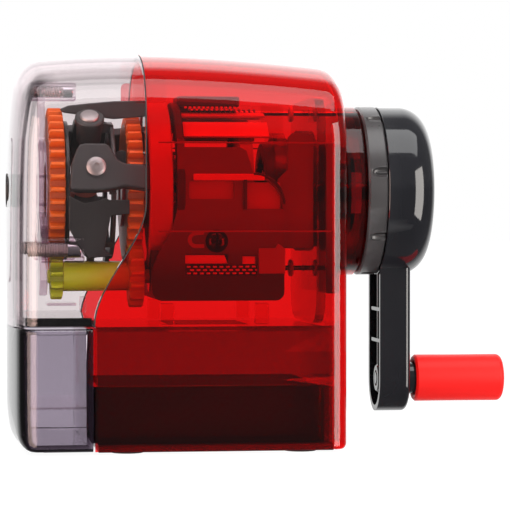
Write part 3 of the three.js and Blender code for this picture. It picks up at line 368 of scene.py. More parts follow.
def wheel(teeth, root, tip, x0, x1, phase, axis=CRANK_AXIS, bore=0):
    """A gear: a wheel with twice as many sides as teeth, every other side drawn out into a tooth."""
    piece = rod(root, x0, x1, axis, 2 * teeth)
    mesh = edit(piece)
    middle = Vector((0, *axis)) * MM
    side = math.pi / teeth

    def is_tooth(face):
        out = face.calc_center_median() - middle
        number = round((math.atan2(out.z, out.y) - math.pi / 2) / side - 0.5)
        return abs(face.normal.x) < 0.5 and number % 2 == 0

    select(mesh, "FACE", is_tooth)
    height = (tip - root) * MM
    for depth, narrow in ((0.45, 0.07), (0.4, 0.11), (0.15, 0.1)):
        bpy.ops.mesh.inset(thickness=narrow * height, depth=depth * height, use_individual=True,
                           use_even_offset=False)
    leave()
    about_axis(piece, phase - 90 - math.degrees(side / 2), axis)
    if bore:
        cut(piece, rod(bore, x0 - 5, x1 + 5, axis, 48))
    return piece


def domed_head(radius, place, height, proud=-1):
    """A low domed head on a face square to Y."""
    shares = ((0, 0), (0, 1), (0.35, 1), (0.62, 0.9), (0.85, 0.66), (0.96, 0.36), (1, 0))
    piece = turned([(height * along, radius * out) for along, out in shares], 36, (0, 0))
    piece.rotation_euler = (0, 0, proud * math.pi / 2)
    piece.location = Vector(place) * MM
    return smooth(settle(piece), 50)


def outward(piece, x, degrees):
    """Stands a piece made about X at the origin on the crank's axis, pointing outward at an angle."""
    piece.rotation_euler = (0, -math.pi / 2, 0)
    piece.location = (x * MM, 0, AXIS_Z * MM)
    return about_axis(smooth(settle(piece)), degrees - 90)


# -------------------------------------------------- finishes


class Value:
    """A socket that can be used in sums."""

    def __init__(self, finish, socket):
        self.finish, self.socket = finish, socket

    def sum(self, operation, first, second):
        return self.finish.node("Math", {"operation": operation}, {0: first, 1: second})

    def __add__(self, other):
        return self.sum("ADD", self, other)

    __radd__ = __add__

    def __sub__(self, other):
        return self.sum("SUBTRACT", self, other)

    def __rsub__(self, other):
        return self.sum("SUBTRACT", other, self)

    def __mul__(self, other):
        return self.sum("MULTIPLY", self, other)

    __rmul__ = __mul__

    def __pow__(self, other):
        return self.sum("POWER", self, other)


class Finish:
    """A material, or the world, and the nodes that make it."""

    def __init__(self, name, kept_in=bpy.data.materials, output="OutputMaterial"):
        self.made = kept_in.new(name)
        self.made.use_nodes = True
        self.nodes, self.links = self.made.node_tree.nodes, self.made.node_tree.links
        self.nodes.clear()
        self.output = self.nodes.new("ShaderNode" + output)

    def node(self, kind, settings=None, sockets=None, out=0):
        """Adds a node, sets its settings, feeds its sockets and gives one of its outputs."""
        made = self.nodes.new("ShaderNode" + kind)
        for name, value in (settings or {}).items():
            setattr(made, name, value)
        for name, value in (sockets or {}).items():
            if isinstance(value, Value):
                self.links.new(value.socket, made.inputs[name])
            elif isinstance(value, tuple) and made.inputs[name].type == "RGBA":
                made.inputs[name].default_value = (*value, 1)
            else:
                made.inputs[name].default_value = value
        return Value(self, made.outputs[out])

    def along(self, letter, kind="Object"):
        """One of the three coordinates."""
        return self.node("SeparateXYZ", {}, {0: self.node("TexCoord", {}, {}, kind)}, letter)

    def ray(self, kind):
        return self.node("LightPath", {}, {}, kind)

    def ramp(self, value, start, end, low=0, high=1, kind="LINEAR"):
        """Goes from low to high while a value goes from start to end."""
        return self.node("MapRange", {"interpolation_type": kind}, {
            "Value": value, "From Min": start, "From Max": end, "To Min": low, "To Max": high})

    def rubbed(self, start, end):
        """The edges that stick out."""
        return self.ramp(self.node("NewGeometry", {}, {}, "Pointiness"), start, end)

    def grain(self, scale, detail=3, stretch=(1, 1, 1)):
        """Noise from 0 to 1, with its scale in cycles per metre."""
        place = self.node("Mapping", {}, {"Vector": self.node("TexCoord", {}, {}, "Object"), "Scale": stretch})
        return self.node("TexNoise", {}, {
            "Vector": place, "Scale": scale, "Detail": detail, "Roughness": 0.55})

    def blend(self, amount, first, second):
        """A colour between two."""
        return self.node("Mix", {"data_type": "RGBA"}, {0: amount, 6: first, 7: second}, 2)

    def bump(self, height, distance):
        return self.node("Bump", {}, {"Height": height, "Distance": distance * MM, "Strength": 1.0})

    def mix(self, amount, first, second):
        return self.node("MixShader", {}, {0: amount, 1: first, 2: second})

    def show(self, shader):
        self.links.new(shader.socket, self.output.inputs["Surface"])
        return self.made


def shade(colour, share):
    return tuple(min(1.0, part * share) for part in colour)


def moulded(name, colour, roughness, specks=0.08, sheen=0.0, texture=0.004, worn=0, painted_gap_shade=None, gloss=1.5,
            painted_shade_below=None):
    """Moulded plastic: slight clouding, fine grain, faint flow marks and paler rubbed edges. Gear teeth get
    painted
    shade in their gaps: given a middle, as y and z, and two radii, the colour is darker inside the first.
    Painted shade also darkens a part towards the bottom: given two heights and the share of the colour left at
    the lower one."""
    f = Finish(name)
    cloud, fine, flow = f.grain(90, 2), f.grain(1400, 3), f.grain(220, 4, (0.25, 1, 1))
    tone = f.blend(cloud * 0.7 + fine * 0.3, shade(colour, 1 - specks), shade(colour, 1 + specks))
    if worn:
        pale = tuple(min(1, part * 0.6 + 0.16) for part in colour)
        tone = f.blend(f.rubbed(0.52, 0.62) * f.grain(500) * worn, tone, pale)
    # Painted shade: the gaps between gear teeth are darkened, standing in for the shade that falls there.
    if painted_gap_shade:
        y, z, low, high = (value * MM for value in painted_gap_shade)
        across, up = f.along("Y") - y, f.along("Z") - z
        unshaded_share = f.ramp((across * across + up * up) ** 0.5, low, high, kind="SMOOTHSTEP")
        tone = f.blend(unshaded_share, shade(colour, 0.42), tone)
    # Painted shade: darker towards the bottom, where less light reaches.
    if painted_shade_below:
        low, high, share = painted_shade_below
        tone = f.blend(f.ramp(f.along("Z"), low * MM, high * MM), shade(colour, share), tone)
    return f.show(f.node("BsdfPrincipled", {}, {
        "Base Color": tone, "Roughness": flow * 0.12 + fine * 0.08 + (roughness - 0.1), "IOR": gloss,
        "Coat Weight": sheen, "Coat Roughness": 0.06,
        "Normal": f.bump(fine * 0.6 + flow * 0.4, texture * 10)}))


def polished(name, colour):
    """Dark polished plastic: nearly black, with hairline scratches and soft dust in its gloss."""
    f = Finish(name)
    cloud = f.grain(60, 3)
    scratch = f.ramp(f.grain(700, 2, (0.06, 1, 1)), 0.62, 0.72)
    tone = f.blend(cloud, shade(colour, 0.8), shade(colour, 1.25))
    return f.show(f.node("BsdfPrincipled", {}, {
        "Base Color": f.blend(f.rubbed(0.53, 0.66) * 0.35, tone, tuple(part + 0.07 for part in colour)),
        "Roughness": cloud * 0.04 + scratch * 0.1 + 0.06, "IOR": 1.5,
        "Normal": f.bump(cloud * 0.7 + scratch * 0.3, 0.012)}))


def metal(name, colour, roughness, stretch=(1, 1, 1)):
    """Bright metal with fine drawn marks and dull patches."""
    f = Finish(name)
    marks, patches = f.grain(2600, 3, stretch), f.grain(260, 3)
    return f.show(f.node("BsdfPrincipled", {}, {
        "Base Color": f.blend(patches, shade(colour, 0.82), shade(colour, 1.1)), "Metallic": 1.0,
        "Roughness": patches * 0.14 + marks * 0.08 + (roughness - 0.1), "Normal": f.bump(marks, 0.01)}))


def rubber(name, colour):
    """Dull rubber with a fine grain."""
    f = Finish(name)
    fine, cloud = f.grain(1700, 4), f.grain(150, 3)
    return f.show(f.node("BsdfPrincipled", {}, {
        "Base Color": f.blend(cloud * 0.6 + fine * 0.4, shade(colour, 0.75), shade(colour, 1.25)),
        "Roughness": cloud * 0.15 + 0.62, "Normal": f.bump(fine, 0.05)}))


SKIN_SHINE = 0.03


def clear(name, face, slanted, through, density, band=(0.3, 0.42, 0.6, 0.76), rear=1):
    """Clear tinted plastic. Each face lets its tint through, and another tint in a band of slants; the body
    takes more off by depth, and the skin mirrors more at a slant. Faint moulding waves and hairlines sit in
    the gloss. With a rear share, the band is weaker behind the front corners and on the near side."""
    f = Finish(name)
    slant = f.node("LayerWeight", {}, {"Blend": 0.5}, "Facing")
    hair = f.grain(500, 2, (0.05, 1, 1))
    shine = f.node("BsdfGlossy", {"distribution": "GGX"}, {
        "Color": (1, 1, 1), "Roughness": f.ramp(hair, 0.66, 0.78) * 0.08 + 0.02,
        "Normal": f.bump(f.grain(38, 2) + hair * 0.02, 0.05)})
    rising, falling = (f.ramp(slant, start, end, kind="SMOOTHSTEP") for start, end in (band[:2], band[2:]))
    amount = rising * (1 - falling)
    if rear < 1:
        amount = amount * f.ramp(f.along("X"), (FRONT_X + 9) * MM, (FRONT_X + 14) * MM, 1, rear)
        amount = amount * f.ramp(f.along("Y"), -0.02, 0.01, 0.4)
    straight, aslant = (f.node("BsdfTransparent", {}, {"Color": tint}) for tint in (face, slanted))
    depth = f.node("VolumeAbsorption", {}, {"Color": through, "Density": density})
    f.links.new(depth.socket, f.output.inputs["Volume"])
    mirror = (slant ** 5) * (1 - SKIN_SHINE) + SKIN_SHINE
    return f.show(f.mix(mirror, f.mix(amount, straight, aslant), shine))


WIDE_BAND = (0.26, 0.42, 0.82, 0.94)
COVER_BAND = (0.31, 0.37, 0.48, 0.57)
DRAWER_BAND = (0.2, 0.34, 0.85, 0.96)
RED_DEPTH = (0.8, 0.02, 0.03)
RED_CLEAR = clear("clear red plastic", (0.95, 0.3, 0.32), (0.9, 0.1, 0.11), (0.965, 0.02, 0.03), 330,
                  WIDE_BAND)
RED_LIGHT = clear("pale red plastic", (0.97, 0.5, 0.52), (0.75, 0.3, 0.35), (0.95, 0.1, 0.12), 150)
RED_PLATE = clear("clear red plastic of the bearing plate", (0.82, 0.3, 0.32), (0.5, 0.2, 0.2), RED_DEPTH, 130)
RED_DARK = clear("clear red plastic of the drawer bay", (0.74, 0.34, 0.36), (0.45, 0.2, 0.2), RED_DEPTH, 110)
RED_DEEP = clear("deep red plastic of the collar", (0.7, 0.1, 0.13), (0.42, 0.05, 0.07), (0.7, 0.02, 0.04),
                 120)
SMOKE = clear("smoke plastic of the cover", (0.95, 0.93, 0.932), (0.06, 0.05, 0.06), (0.72, 0.62, 0.66), 60,
              COVER_BAND, 0.14)
SMOKE_DARK = clear("smoke plastic of the drawer", (0.782, 0.757, 0.793), (0.07, 0.055, 0.07), (0.6, 0.52, 0.6),
                   150, DRAWER_BAND)
SMOKE_LIP = clear("smoke plastic of the cover's floor", (0.7, 0.68, 0.7), (0.3, 0.28, 0.3),
                  (0.5, 0.46, 0.48), 400)
SMOKE_TRAY = clear("smoke plastic of the tray", (0.62, 0.59, 0.62), (0.3, 0.27, 0.3), (0.5, 0.42, 0.5), 420)
ENTRY = clear("clear plastic of the entry plate", (0.96, 0.94, 0.95), (0.8, 0.76, 0.78), (0.8, 0.72, 0.76), 15)
CLEAR = clear("clear plastic of the bracket", (0.94, 0.91, 0.93), (0.76, 0.68, 0.73), (0.8, 0.68, 0.74), 70)
RED_SOLID = moulded("solid red plastic", (0.86, 0.02, 0.012), 0.3, 0.06, 0.3, 0.003)
RED_DRUM = moulded("red plastic of the frame's drum", (0.62, 0.012, 0.01), 0.34, 0.1, 0.2, 0.003)
WINE = moulded("wine red plastic", (0.36, 0.012, 0.014), 0.34, 0.1, 0.2, 0.003)
# The maroon plates get painted shade, darker towards their bottom.
MAROON = moulded("maroon plastic", (0.2, 0.012, 0.016), 0.35, 0.16, 0.2, 0.003,
                 painted_shade_below=(AXIS_Z - 27, AXIS_Z - 8, 0.25))
# Painted light: a brighter red for the plates behind the windows, where the inside is in shade.
WINDOW_LIGHT_RED = moulded("red plastic painted as light behind the windows", (0.5, 0.02, 0.02), 0.4, 0.1, 0.1, 0.003)
BASE_DARK = moulded("dark red base plastic", (0.07, 0.01, 0.012), 0.35, 0.1, 0.2, 0.003)
# The gears and the front pinion get painted shade in the gaps between their teeth.
ORANGE = moulded("orange gear plastic", (0.98, 0.14, 0.0), 0.45, 0.1, 0.02, painted_gap_shade=(*CRANK_AXIS, 21.6, 24.2))
ORANGE_REAR = moulded("orange rear gear plastic", (0.98, 0.14, 0.0), 0.45, 0.1, 0.02,
                      painted_gap_shade=(*CRANK_AXIS, 19.4, 21.8))
LIME = moulded("lime shaft plastic", (0.62, 0.66, 0.01), 0.4, 0.08, 0.1)
LIME_TEETH = moulded("lime pinion plastic", (0.6, 0.63, 0.012), 0.4, 0.08, 0.1, painted_gap_shade=(*LAY_AXIS, 4.0, 6.6))
GRAPHITE = moulded("graphite frame plastic", (0.042, 0.038, 0.038), 0.46, 0.16, 0.06, 0.006, 0.22)
BLACK_MATT = moulded("black lever plastic", (0.01, 0.0085, 0.0085), 0.5, 0.16, 0.0, 0.006, 0.1)
DIAL_GREY = moulded("satin grey dial plastic", (0.045, 0.041, 0.042), 0.3, 0.1, 0.0, 0.003, 0.5)
BLACK_GLOSS = polished("polished black plastic", (0.012, 0.012, 0.015))
KNOB_RED = moulded("red knob plastic", (0.95, 0.01, 0.008), 0.42, 0.03, 0.0, 0.002, gloss=1.28)
STEEL = metal("bright steel", (0.7, 0.7, 0.72), 0.2)
STEEL_DULL = metal("dull steel", (0.46, 0.43, 0.43), 0.48)
STEEL_DRAWN = metal("drawn steel wire", (0.62, 0.62, 0.64), 0.3, (0.1, 1, 1))
ROLLER = rubber("red-brown roller rubber", (0.42, 0.1, 0.07))
FOOT = rubber("black foot rubber", (0.02, 0.02, 0.021))

# -------------------------------------------------- casing

EDGE_DEPTH = 8
EDGE_END = 8.5
EDGE_STEPS = (1.0, 0.72, 0.48, 0.3, 0.17, 0.08, 0.03, 0.0)
APEX = 40


def edge_drop(depth, radius):
    """How far a rounded edge has fallen at a depth from the face."""
    return 0.0 if depth >= radius else radius - math.sqrt(radius * radius - (radius - depth) ** 2)


def roof_at(x):
    """Height of the roof over a place along the casing."""
    behind = x - FRONT_X - APEX
    if behind < 0:
        return ROOF_Z - 2.4 * (-behind / APEX) ** 2
    return ROOF_Z - 4.0 * (behind / (LENGTH - APEX)) ** 1.7


def width_at(x):
    """Half the width of the casing at a place along it."""
    return HALF_WIDTH - SIDE_TAPER * max(0.0, (x - FRONT_X) / LENGTH)


def seam_at(z):
    """Where the seam between cover and housing runs at a height."""
    t = min(1.0, max(0.0, (z - SEAM_LOW_Z) / (SEAM_TOP_Z - SEAM_LOW_Z)))
    return SEAM_LOW_X + (SEAM_TOP_X - SEAM_LOW_X) * t * t * (3 - 2 * t)


def section(width, low, top, foot, side_steps, swept=True):
    """Outline of the casing across X, as y and z: rounded foot, straight sides, roof corners and a crowned
    roof. One that isn't swept has small corners and a flat top."""
    corner, tilt, steps = (19.5, 66, 14) if swept else (1.5, 90, 4)
    lean = math.radians(tilt)
    flat = width - corner * (1 - math.cos(lean))
    bow = flat / math.cos(lean) if swept else 0
    start, end = low + foot, top - corner * math.sin(lean) - bow * (1 - math.sin(lean))
    half = [(width * 0.5, low), *arc(width - foot, low + foot, foot, -90, 0, 3)]
    half += [(width, start + (end - start) * i / side_steps) for i in range(1, side_steps + 1)]
    half += arc(width - corner, end, corner, 0, tilt, steps)[1:]
    for share in (0.8, 0.6, 0.4, 0.2):
        fallen = bow - math.sqrt(bow * bow - (share * flat) ** 2) if swept else 0
        half.append((share * flat, top - fallen))
    return [(0, low), *half, (0, top), *[(-y, z) for y, z in reversed(half)]]


def pulled(outline, stations, closed=True):
    """A hollow skin: an outline at the first station, pulled along X and scaled to each next one's width, low
    and top, and closed at the end with rings that run to its middle."""
    x, width, low, top = stations[0]
    piece = traced([(x, y, z) for y, z in outline], "NOTHING")
    for next_x, next_width, next_low, next_top in stations[1:]:
        step = Vector((next_x - x, 0, next_low - low)) * MM
        bpy.ops.mesh.extrude_region_move(TRANSFORM_OT_translate={"value": step})
        bpy.ops.transform.resize(value=(1, next_width / width, (next_top - next_low) / (top - low)),
                                 center_override=(next_x * MM, 0, next_low * MM))
        x, width, low, top = next_x, next_width, next_low, next_top
    if closed:
        share = 1.0
        for next_share in (0.86, 0.7, 0.54, 0.38, 0.22, 0.08):
            bpy.ops.mesh.extrude_region_move()
            bpy.ops.transform.resize(value=(1, next_share / share, next_share / share),
                                     center_override=(x * MM, 0, (low + top) / 2 * MM))
            share = next_share
        bpy.ops.mesh.edge_face_add()
    leave()
    return mend(piece, 0.002)


def front_stations(rear, low, foot, top_at):
    """Stations from the seam forward to the front face and round its edges: x, half width, low and top."""
    still = FRONT_X + EDGE_END
    places = [still + (rear - still) * share for share in (1.0, 0.75, 0.5, 0.25, 0.0)]
    stations = [(x, width_at(x), low, top_at(x)) for x in places]
    for depth in [EDGE_DEPTH * share for share in EDGE_STEPS]:
        x = FRONT_X + depth
        stations.append((x, width_at(x) - edge_drop(depth, 7.5), low + edge_drop(depth, foot), top_at(x)))
    return stations


def stand_back(x, y, z):
    """How far the pillowed front stands back behind its middle."""
    fade = max(0.0, 1 - (x - FRONT_X) / 28.4)
    lean = max(0.0, (z - 45) / (ROOF_Z - 45))
    tuck = max(0.0, (15 - z) / 15)
    side = (y / HALF_WIDTH) ** 2
    return fade * fade * (3 * side + 2.4 * lean ** 3 + 2.4 * tuck * tuck * max(0.0, 1 - side))


def opened(piece, test):
    """Takes away the faces whose normal and middle, in millimetres, pass the test."""
    select(edit(piece), "FACE", lambda face: test(face.normal, face.calc_center_median() / MM))
    bpy.ops.mesh.delete(type="FACE")
    leave()
    return mend(piece, 0.002)


def front_cover():
    """Smoke cover: a pillowed front with the pencil's hole, and a rear edge that follows the seam."""
    rear = SEAM_TOP_X - SEAM_GAP / 2
    still = FRONT_X + EDGE_END

    def shift(x, y, z):
        share = (x - still) / (rear - still) if x > still + 0.01 else 0
        return (seam_at(z) - SEAM_GAP / 2 - rear) * share + stand_back(x, y, z)

    piece = pulled(section(width_at(rear), COVER_LOW, roof_at(rear), 0.5, 26),
                   front_stations(rear, COVER_LOW, 0, lambda x: roof_at(x) - edge_drop(x - FRONT_X, 8)))
    walled(mend(press(piece, shift), 0.002), WALL)
    cut(piece, rod(ENTRY_RADIUS, FRONT_X - 5, FRONT_X + 7, CRANK_AXIS, 48))
    finish(smooth(piece), "front_cover_shell", "casing", SMOKE, "smoke_shell", "front_cover")


def main_housing():
    """Red housing: open below, with holes at the rear for the shaft and the two rods."""
    front = SEAM_TOP_X + SEAM_GAP / 2
    straight = REAR_X - EDGE_END - front
    places = [front + straight * share for share in (0.0, 0.12, 0.25, 0.4, 0.55, 0.7, 0.85, 1.0)]
    stations = [(x, width_at(x), HOUSING_LOW, roof_at(x)) for x in places]
    for depth in [EDGE_DEPTH * share for share in EDGE_STEPS]:
        x = REAR_X - depth
        stations.append((x, width_at(x) - edge_drop(depth, 5), HOUSING_LOW + edge_drop(depth, 2),
                         roof_at(x) - edge_drop(depth, 5.2)))
    still = FRONT_X + 62

    def shift(x, y, z):
        return (seam_at(z) + SEAM_GAP / 2 - front) * max(0.0, (still - x) / (still - front))

    def is_below(normal, middle):
        return normal.z < -0.9 and middle.x < REAR_X - 4 and middle.z < HOUSING_LOW + 0.6

    piece = press(pulled(section(width_at(front), HOUSING_LOW, roof_at(front), 1.2, 30), stations), shift)
    opened(piece, is_below)
    walled(piece, WALL)
    holes = [rod(9.3, REAR_X - 6, REAR_X + 6, CRANK_AXIS, 48)]
    for name in RODS:
        holes.append(rod(1.0, REAR_X - 6, REAR_X + 6, (0, sum(corner.z for corner in span(name)) / 2)))
    cut(piece, *holes)
    finish(smooth(piece), "housing_shell", "casing", RED_CLEAR, "red_shell", "main_housing")


def drawer():
    """Drawer: a tall hollow front, open on top, a low tray behind it and a shelf line in the front."""
    low, high = span("drawer")
    rear = SEAM_LOW_X - SEAM_GAP

    def is_lid(normal, middle):
        return normal.z > 0.9 and middle.z > DRAWER_TOP - 0.4 and middle.x > FRONT_X + 4

    front = pulled(section(width_at(rear), low.z, DRAWER_TOP, 2.4, 8, False),
                   front_stations(rear, low.z, 5, lambda x: DRAWER_TOP))
    select(edit(press(front, stand_back)), "EDGE", lambda edge: edge.is_boundary)
    bpy.ops.mesh.edge_face_add()
    leave()
    opened(front, is_lid)
    finish(eased(walled(front, 2.0), 0.25), "drawer_front", "drawer", SMOKE_DARK, "smoke_shell", "drawer")
    tray_top, tray_floor, half = 19.9, low.z + 3.9, 28.4
    tray = block(rear + 0.02, high.x, -half, half, low.z + 2.1, tray_top)
    mesh = edit(tray)
    select(mesh, "EDGE", lambda edge: abs(edge.verts[0].co.z - edge.verts[1].co.z) > 0.01)
    bpy.ops.mesh.bevel(offset=2.5 * MM, segments=4)
    select(mesh, "FACE", lambda face: face.normal.z > 0.9)
    bpy.ops.mesh.inset(thickness=2.0 * MM)
    bpy.ops.mesh.extrude_region_move(TRANSFORM_OT_translate={"value": (0, 0, (tray_floor - tray_top) * MM)})
    leave()
    finish(eased(mend(tray), 0.3), "drawer_tray", "drawer", SMOKE_TRAY, "smoke_shell")
    shelf = slab(round_rect(FRONT_X + 5.4, rear - 1.2, -27, 27, 3, 4), 13.2, 13.8, "Z")
    finish(eased(shelf, 0.15), "drawer_shelf", "drawer", SMOKE, "smoke_shell")


def entry_plate():
    """Clear plate round the pencil's entry, domed with the front, and the entry's dark liner."""
    low, high = span("entry_plate")
    piece = slab(round_rect(low.y, high.y, low.z, high.z, 5, 6), FRONT_X - 0.3, FRONT_X + 0.15)
    cut(piece, rod(ENTRY_RADIUS, FRONT_X - 5, FRONT_X + 5, CRANK_AXIS, 48))
    edit(piece, True)
    for y in (-8, 8):
        bpy.ops.mesh.bisect(plane_co=(0, y * MM, 0), plane_no=(0, 1, 0))
        bpy.ops.mesh.select_all(action="SELECT")
    leave()
    press(piece, lambda x, y, z: stand_back(FRONT_X, y, z))
    finish(eased(piece, 0.12, 2, 50), "entry_plate_domed", "casing", ENTRY, "smoke_shell", "entry_plate")
    liner = turned([(FRONT_X + 0.1, 4.5), (FRONT_X - 0.2, 4.7), (FRONT_X - 0.2, 5.1), (FRONT_X + 2.4, 5.15),
                    (FRONT_X + 2.4, 4.5), (FRONT_X + 0.1, 4.5)], 48)
    finish(smooth(liner), "entry_liner", "casing", BLACK_MATT, "graphite")


front_cover()
main_housing()
drawer()
entry_plate()

# -------------------------------------------------- gears and the lay shaft

FRONT_TEETH, REAR_TEETH = 40, 36
MODULE = 1.2


def gear(node, teeth, x0, x1, bore):
    """One of the two gears on the crank's axis, as high as its node."""
    low, high = span(node)
    tip = (high.z - low.z) / 2
    return eased(wheel(teeth, tip - 2.5, tip, x0, x1, 0, bore=bore), 0.12, 1)


def pinion(teeth, met_teeth, x0, x1):
    """A pinion of the lay shaft, turned so that its teeth meet the gaps of a gear."""
    pitch = teeth * MODULE / 2
    phase = LAY_ANGLE + 180 + (180 + met_teeth * LAY_ANGLE) / teeth
    return eased(wheel(teeth, pitch - 1.35, pitch + 1.05, x0, x1, phase, LAY_AXIS), 0.15)


def gear_drive():
    """Front gear, rear gear and the geared lay shaft under them."""
    front, front_end = (corner.x for corner in span("front_gear"))
    rear, rear_end = (corner.x for corner in span("rear_gear"))
    end = span("lay_shaft")[1].x
    piece = gear("front_gear", FRONT_TEETH, front, front_end - 0.1, 8.7)
    finish(piece, "front_gear_toothed", "front_gear", ORANGE, "orange_gear", "front_gear")
    piece = gear("rear_gear", REAR_TEETH, rear, rear_end, 11.3)
    finish(piece, "rear_gear_toothed", "crank", ORANGE_REAR, "orange_gear", "rear_gear")
    small = pinion(10, FRONT_TEETH, front + 0.3, front_end - 0.6)
    large = pinion(14, REAR_TEETH, rear + 0.3, rear_end)
    shaft = turned([(front - 0.4, 0), (front - 0.4, 1.8), (front, 2.1), (front + 1, 2.1), (front + 1, 4.4),
                    (front_end + 0.5, 4.5), (rear - 1.2, 4.3), (rear + 0.5, 4.4), (end - 4, 4.4),
                    (end - 4, 2.1), (end, 2.1), (end, 0)], 40, LAY_AXIS)
    finish(unite(smooth(shaft), large), "lay_shaft_geared", "lay_shaft", LIME, "lime_shaft", "lay_shaft")
    finish(small, "lay_shaft_pinion", "lay_shaft", LIME_TEETH, "lime_shaft")


gear_drive()

# -------------------------------------------------- rear collar, dial, crank and knob

ARM_X = span("crank_arm")[0].x
ARM_END = ARM_X + ARM_THICK


def rear_collar():
    """Red collar behind the dial, with the bush that the shaft runs in."""
    low, high = span("rear_collar")
    plate = REAR_X + 0.3
    radius = (span("adjust_dial")[1].z - AXIS_Z) + 0.1
    piece = turned([(plate + 0.2, 3.5), (plate, 4), (plate, radius - 0.6), (plate + 0.6, radius),
                    (plate + 5.7, radius), (plate + 6.7, radius - 1), (plate + 6.7, 14.7), (high.x, 14.7),
                    (high.x, 12.9), (plate + 5.2, 12.9), (plate + 5.2, radius - 3), (plate + 2, radius - 2.4),
                    (plate + 2, 3.5), (plate + 0.2, 3.5)], 96)
    bush = turned([(low.x, 3.4), (low.x, 8.6), (low.x + 0.4, 9), (plate + 1.9, 9), (plate + 1.9, 3.4),
                   (low.x, 3.4)], 48)
    finish(smooth(unite(piece, bush)), "rear_collar_clear", "casing", RED_DEEP, "red_shell", "rear_collar")


def adjust_dial():
    """Dial ring with a notch and a thin ridge at each point."""
    low, high = span("adjust_dial")
    radius = (high.z - low.z) / 2
    piece = turned([(low.x + 0.1, 15), (low.x, 15.4), (low.x, radius - 0.5), (low.x + 0.5, radius),
                    (high.x - 0.5, radius), (high.x, radius - 0.5), (high.x, 15.4), (high.x - 0.1, 15),
                    (low.x + 0.1, 15)], 128)
    ridges = []
    nose = high.x - 4.9
    for i in range(DIAL_POINTS):
        angle = 33 + 360 / DIAL_POINTS * i
        notch = [(nose, 0), (nose + 0.12, 0.5), (nose + 0.45, 0.95), (nose + 1, 1.3), (nose + 1.8, 1.52),
                 (nose + 2.8, 1.6), (high.x + 2, 1.62), (high.x + 2, 0)]
        cut(piece, turned(notch, 24, on_circle(radius + 0.3, angle)))
        ridges.append(turned([(nose + 1.3, 0), (nose + 1.5, 0.25), (nose + 2, 0.36), (high.x - 0.3, 0.36),
                              (high.x - 0.15, 0.2), (high.x - 0.15, 0)], 16, on_circle(radius - 1.1, angle)))
    piece = unite(eased(piece, 0.18, 2, 35), *ridges)
    finish(smooth(piece), "adjust_dial_notched", "dial", DIAL_GREY, "dial_grey", "adjust_dial")


def crank():
    """Domed hub and an arm that is open at the back, with ribs and a boss for the knob's pin."""
    high = span("crank_arm")[1]
    radius = high.z - AXIS_Z
    dome = []
    for t in [math.radians(7.5 * i) for i in range(13)]:
        dome.append((high.x - 1.8 - 8.2 * (1 - math.sin(t)), radius - 8 * (1 - math.cos(t))))
    hub = turned([(high.x - 4, 3.1), (ARM_X, 3.1), (ARM_X, 7), (high.x - 3.2, 7), (high.x - 3.6, 16),
                  (ARM_X + 8, 23.2), (ARM_X, 23.6), (ARM_X, radius - 0.15), (ARM_X + 0.2, radius), *dome,
                  (high.x - 0.9, 12), (high.x - 0.4, 6.5), (high.x - 0.42, 6.3), (high.x - 2.3, 6.3),
                  (high.x - 2.3, 1.6)], 128)
    parts = [smooth(hub, 25)]
    half = 10.1
    knob_z = span("crank_knob")[0].z + 7.2
    arm = slab([(-half, AXIS_Z - 22), *arc(0, knob_z, half, 180, 360, 24), (half, AXIS_Z - 22)],
               ARM_X, ARM_END)
    mesh = edit(arm)
    select(mesh, "EDGE", lambda edge: all(v.co.x > (ARM_END - 0.01) * MM for v in edge.verts)
           and edge.calc_face_angle(0) > 0.5)
    bpy.ops.mesh.bevel(offset=1.6 * MM, segments=5)
    select(mesh, "FACE", lambda face: face.normal.x < -0.9)
    bpy.ops.mesh.inset(thickness=1.8 * MM)
    bpy.ops.mesh.extrude_region_move(TRANSFORM_OT_translate={"value": (7.8 * MM, 0, 0)})
    leave()
    cut(mend(arm), turned([(0, 0), (0, radius - 1.4), (80, radius - 1.4), (80, 0)], 96))
    parts.append(eased(arm, 0.25, 2, 40))
    hub_foot = AXIS_Z - radius
    parts.append(eased(block(ARM_X + 0.9, ARM_END - 1, -0.6, 0.6, knob_z + 4, hub_foot + 1.5), 0.2))
    for share in (0.33, 0.63):
        z = hub_foot - share * (hub_foot - knob_z)
        parts.append(eased(block(ARM_X + 0.3, ARM_END - 1, -half + 1.2, half - 1.2, z - 0.6, z + 0.6), 0.2))
    parts.append(smooth(turned([(ARM_END - 1, 2.3), (ARM_X + 0.8, 2.3), (ARM_X + 0.5, 2.6), (ARM_X + 0.5, 3.9),
                                (ARM_X + 0.9, 4.3), (ARM_END - 1, 4.5), (ARM_END - 1, 2.3)], 48, (0, knob_z))))
    finish(unite(*parts), "crank_arm_hub", "crank", BLACK_GLOSS, "black_gloss", "crank_arm")
    low, high = span("hub_cap")
    cap = turned([(low.x, 0), (low.x, 5.6), (low.x + 0.3, 5.95), (high.x - 0.4, 5.95), (high.x - 0.1, 5.6),
                  (high.x, 4), (high.x, 0)], 64)
    finish(smooth(cap), "hub_cap_round", "crank", BLACK_GLOSS, "black_gloss", "hub_cap")


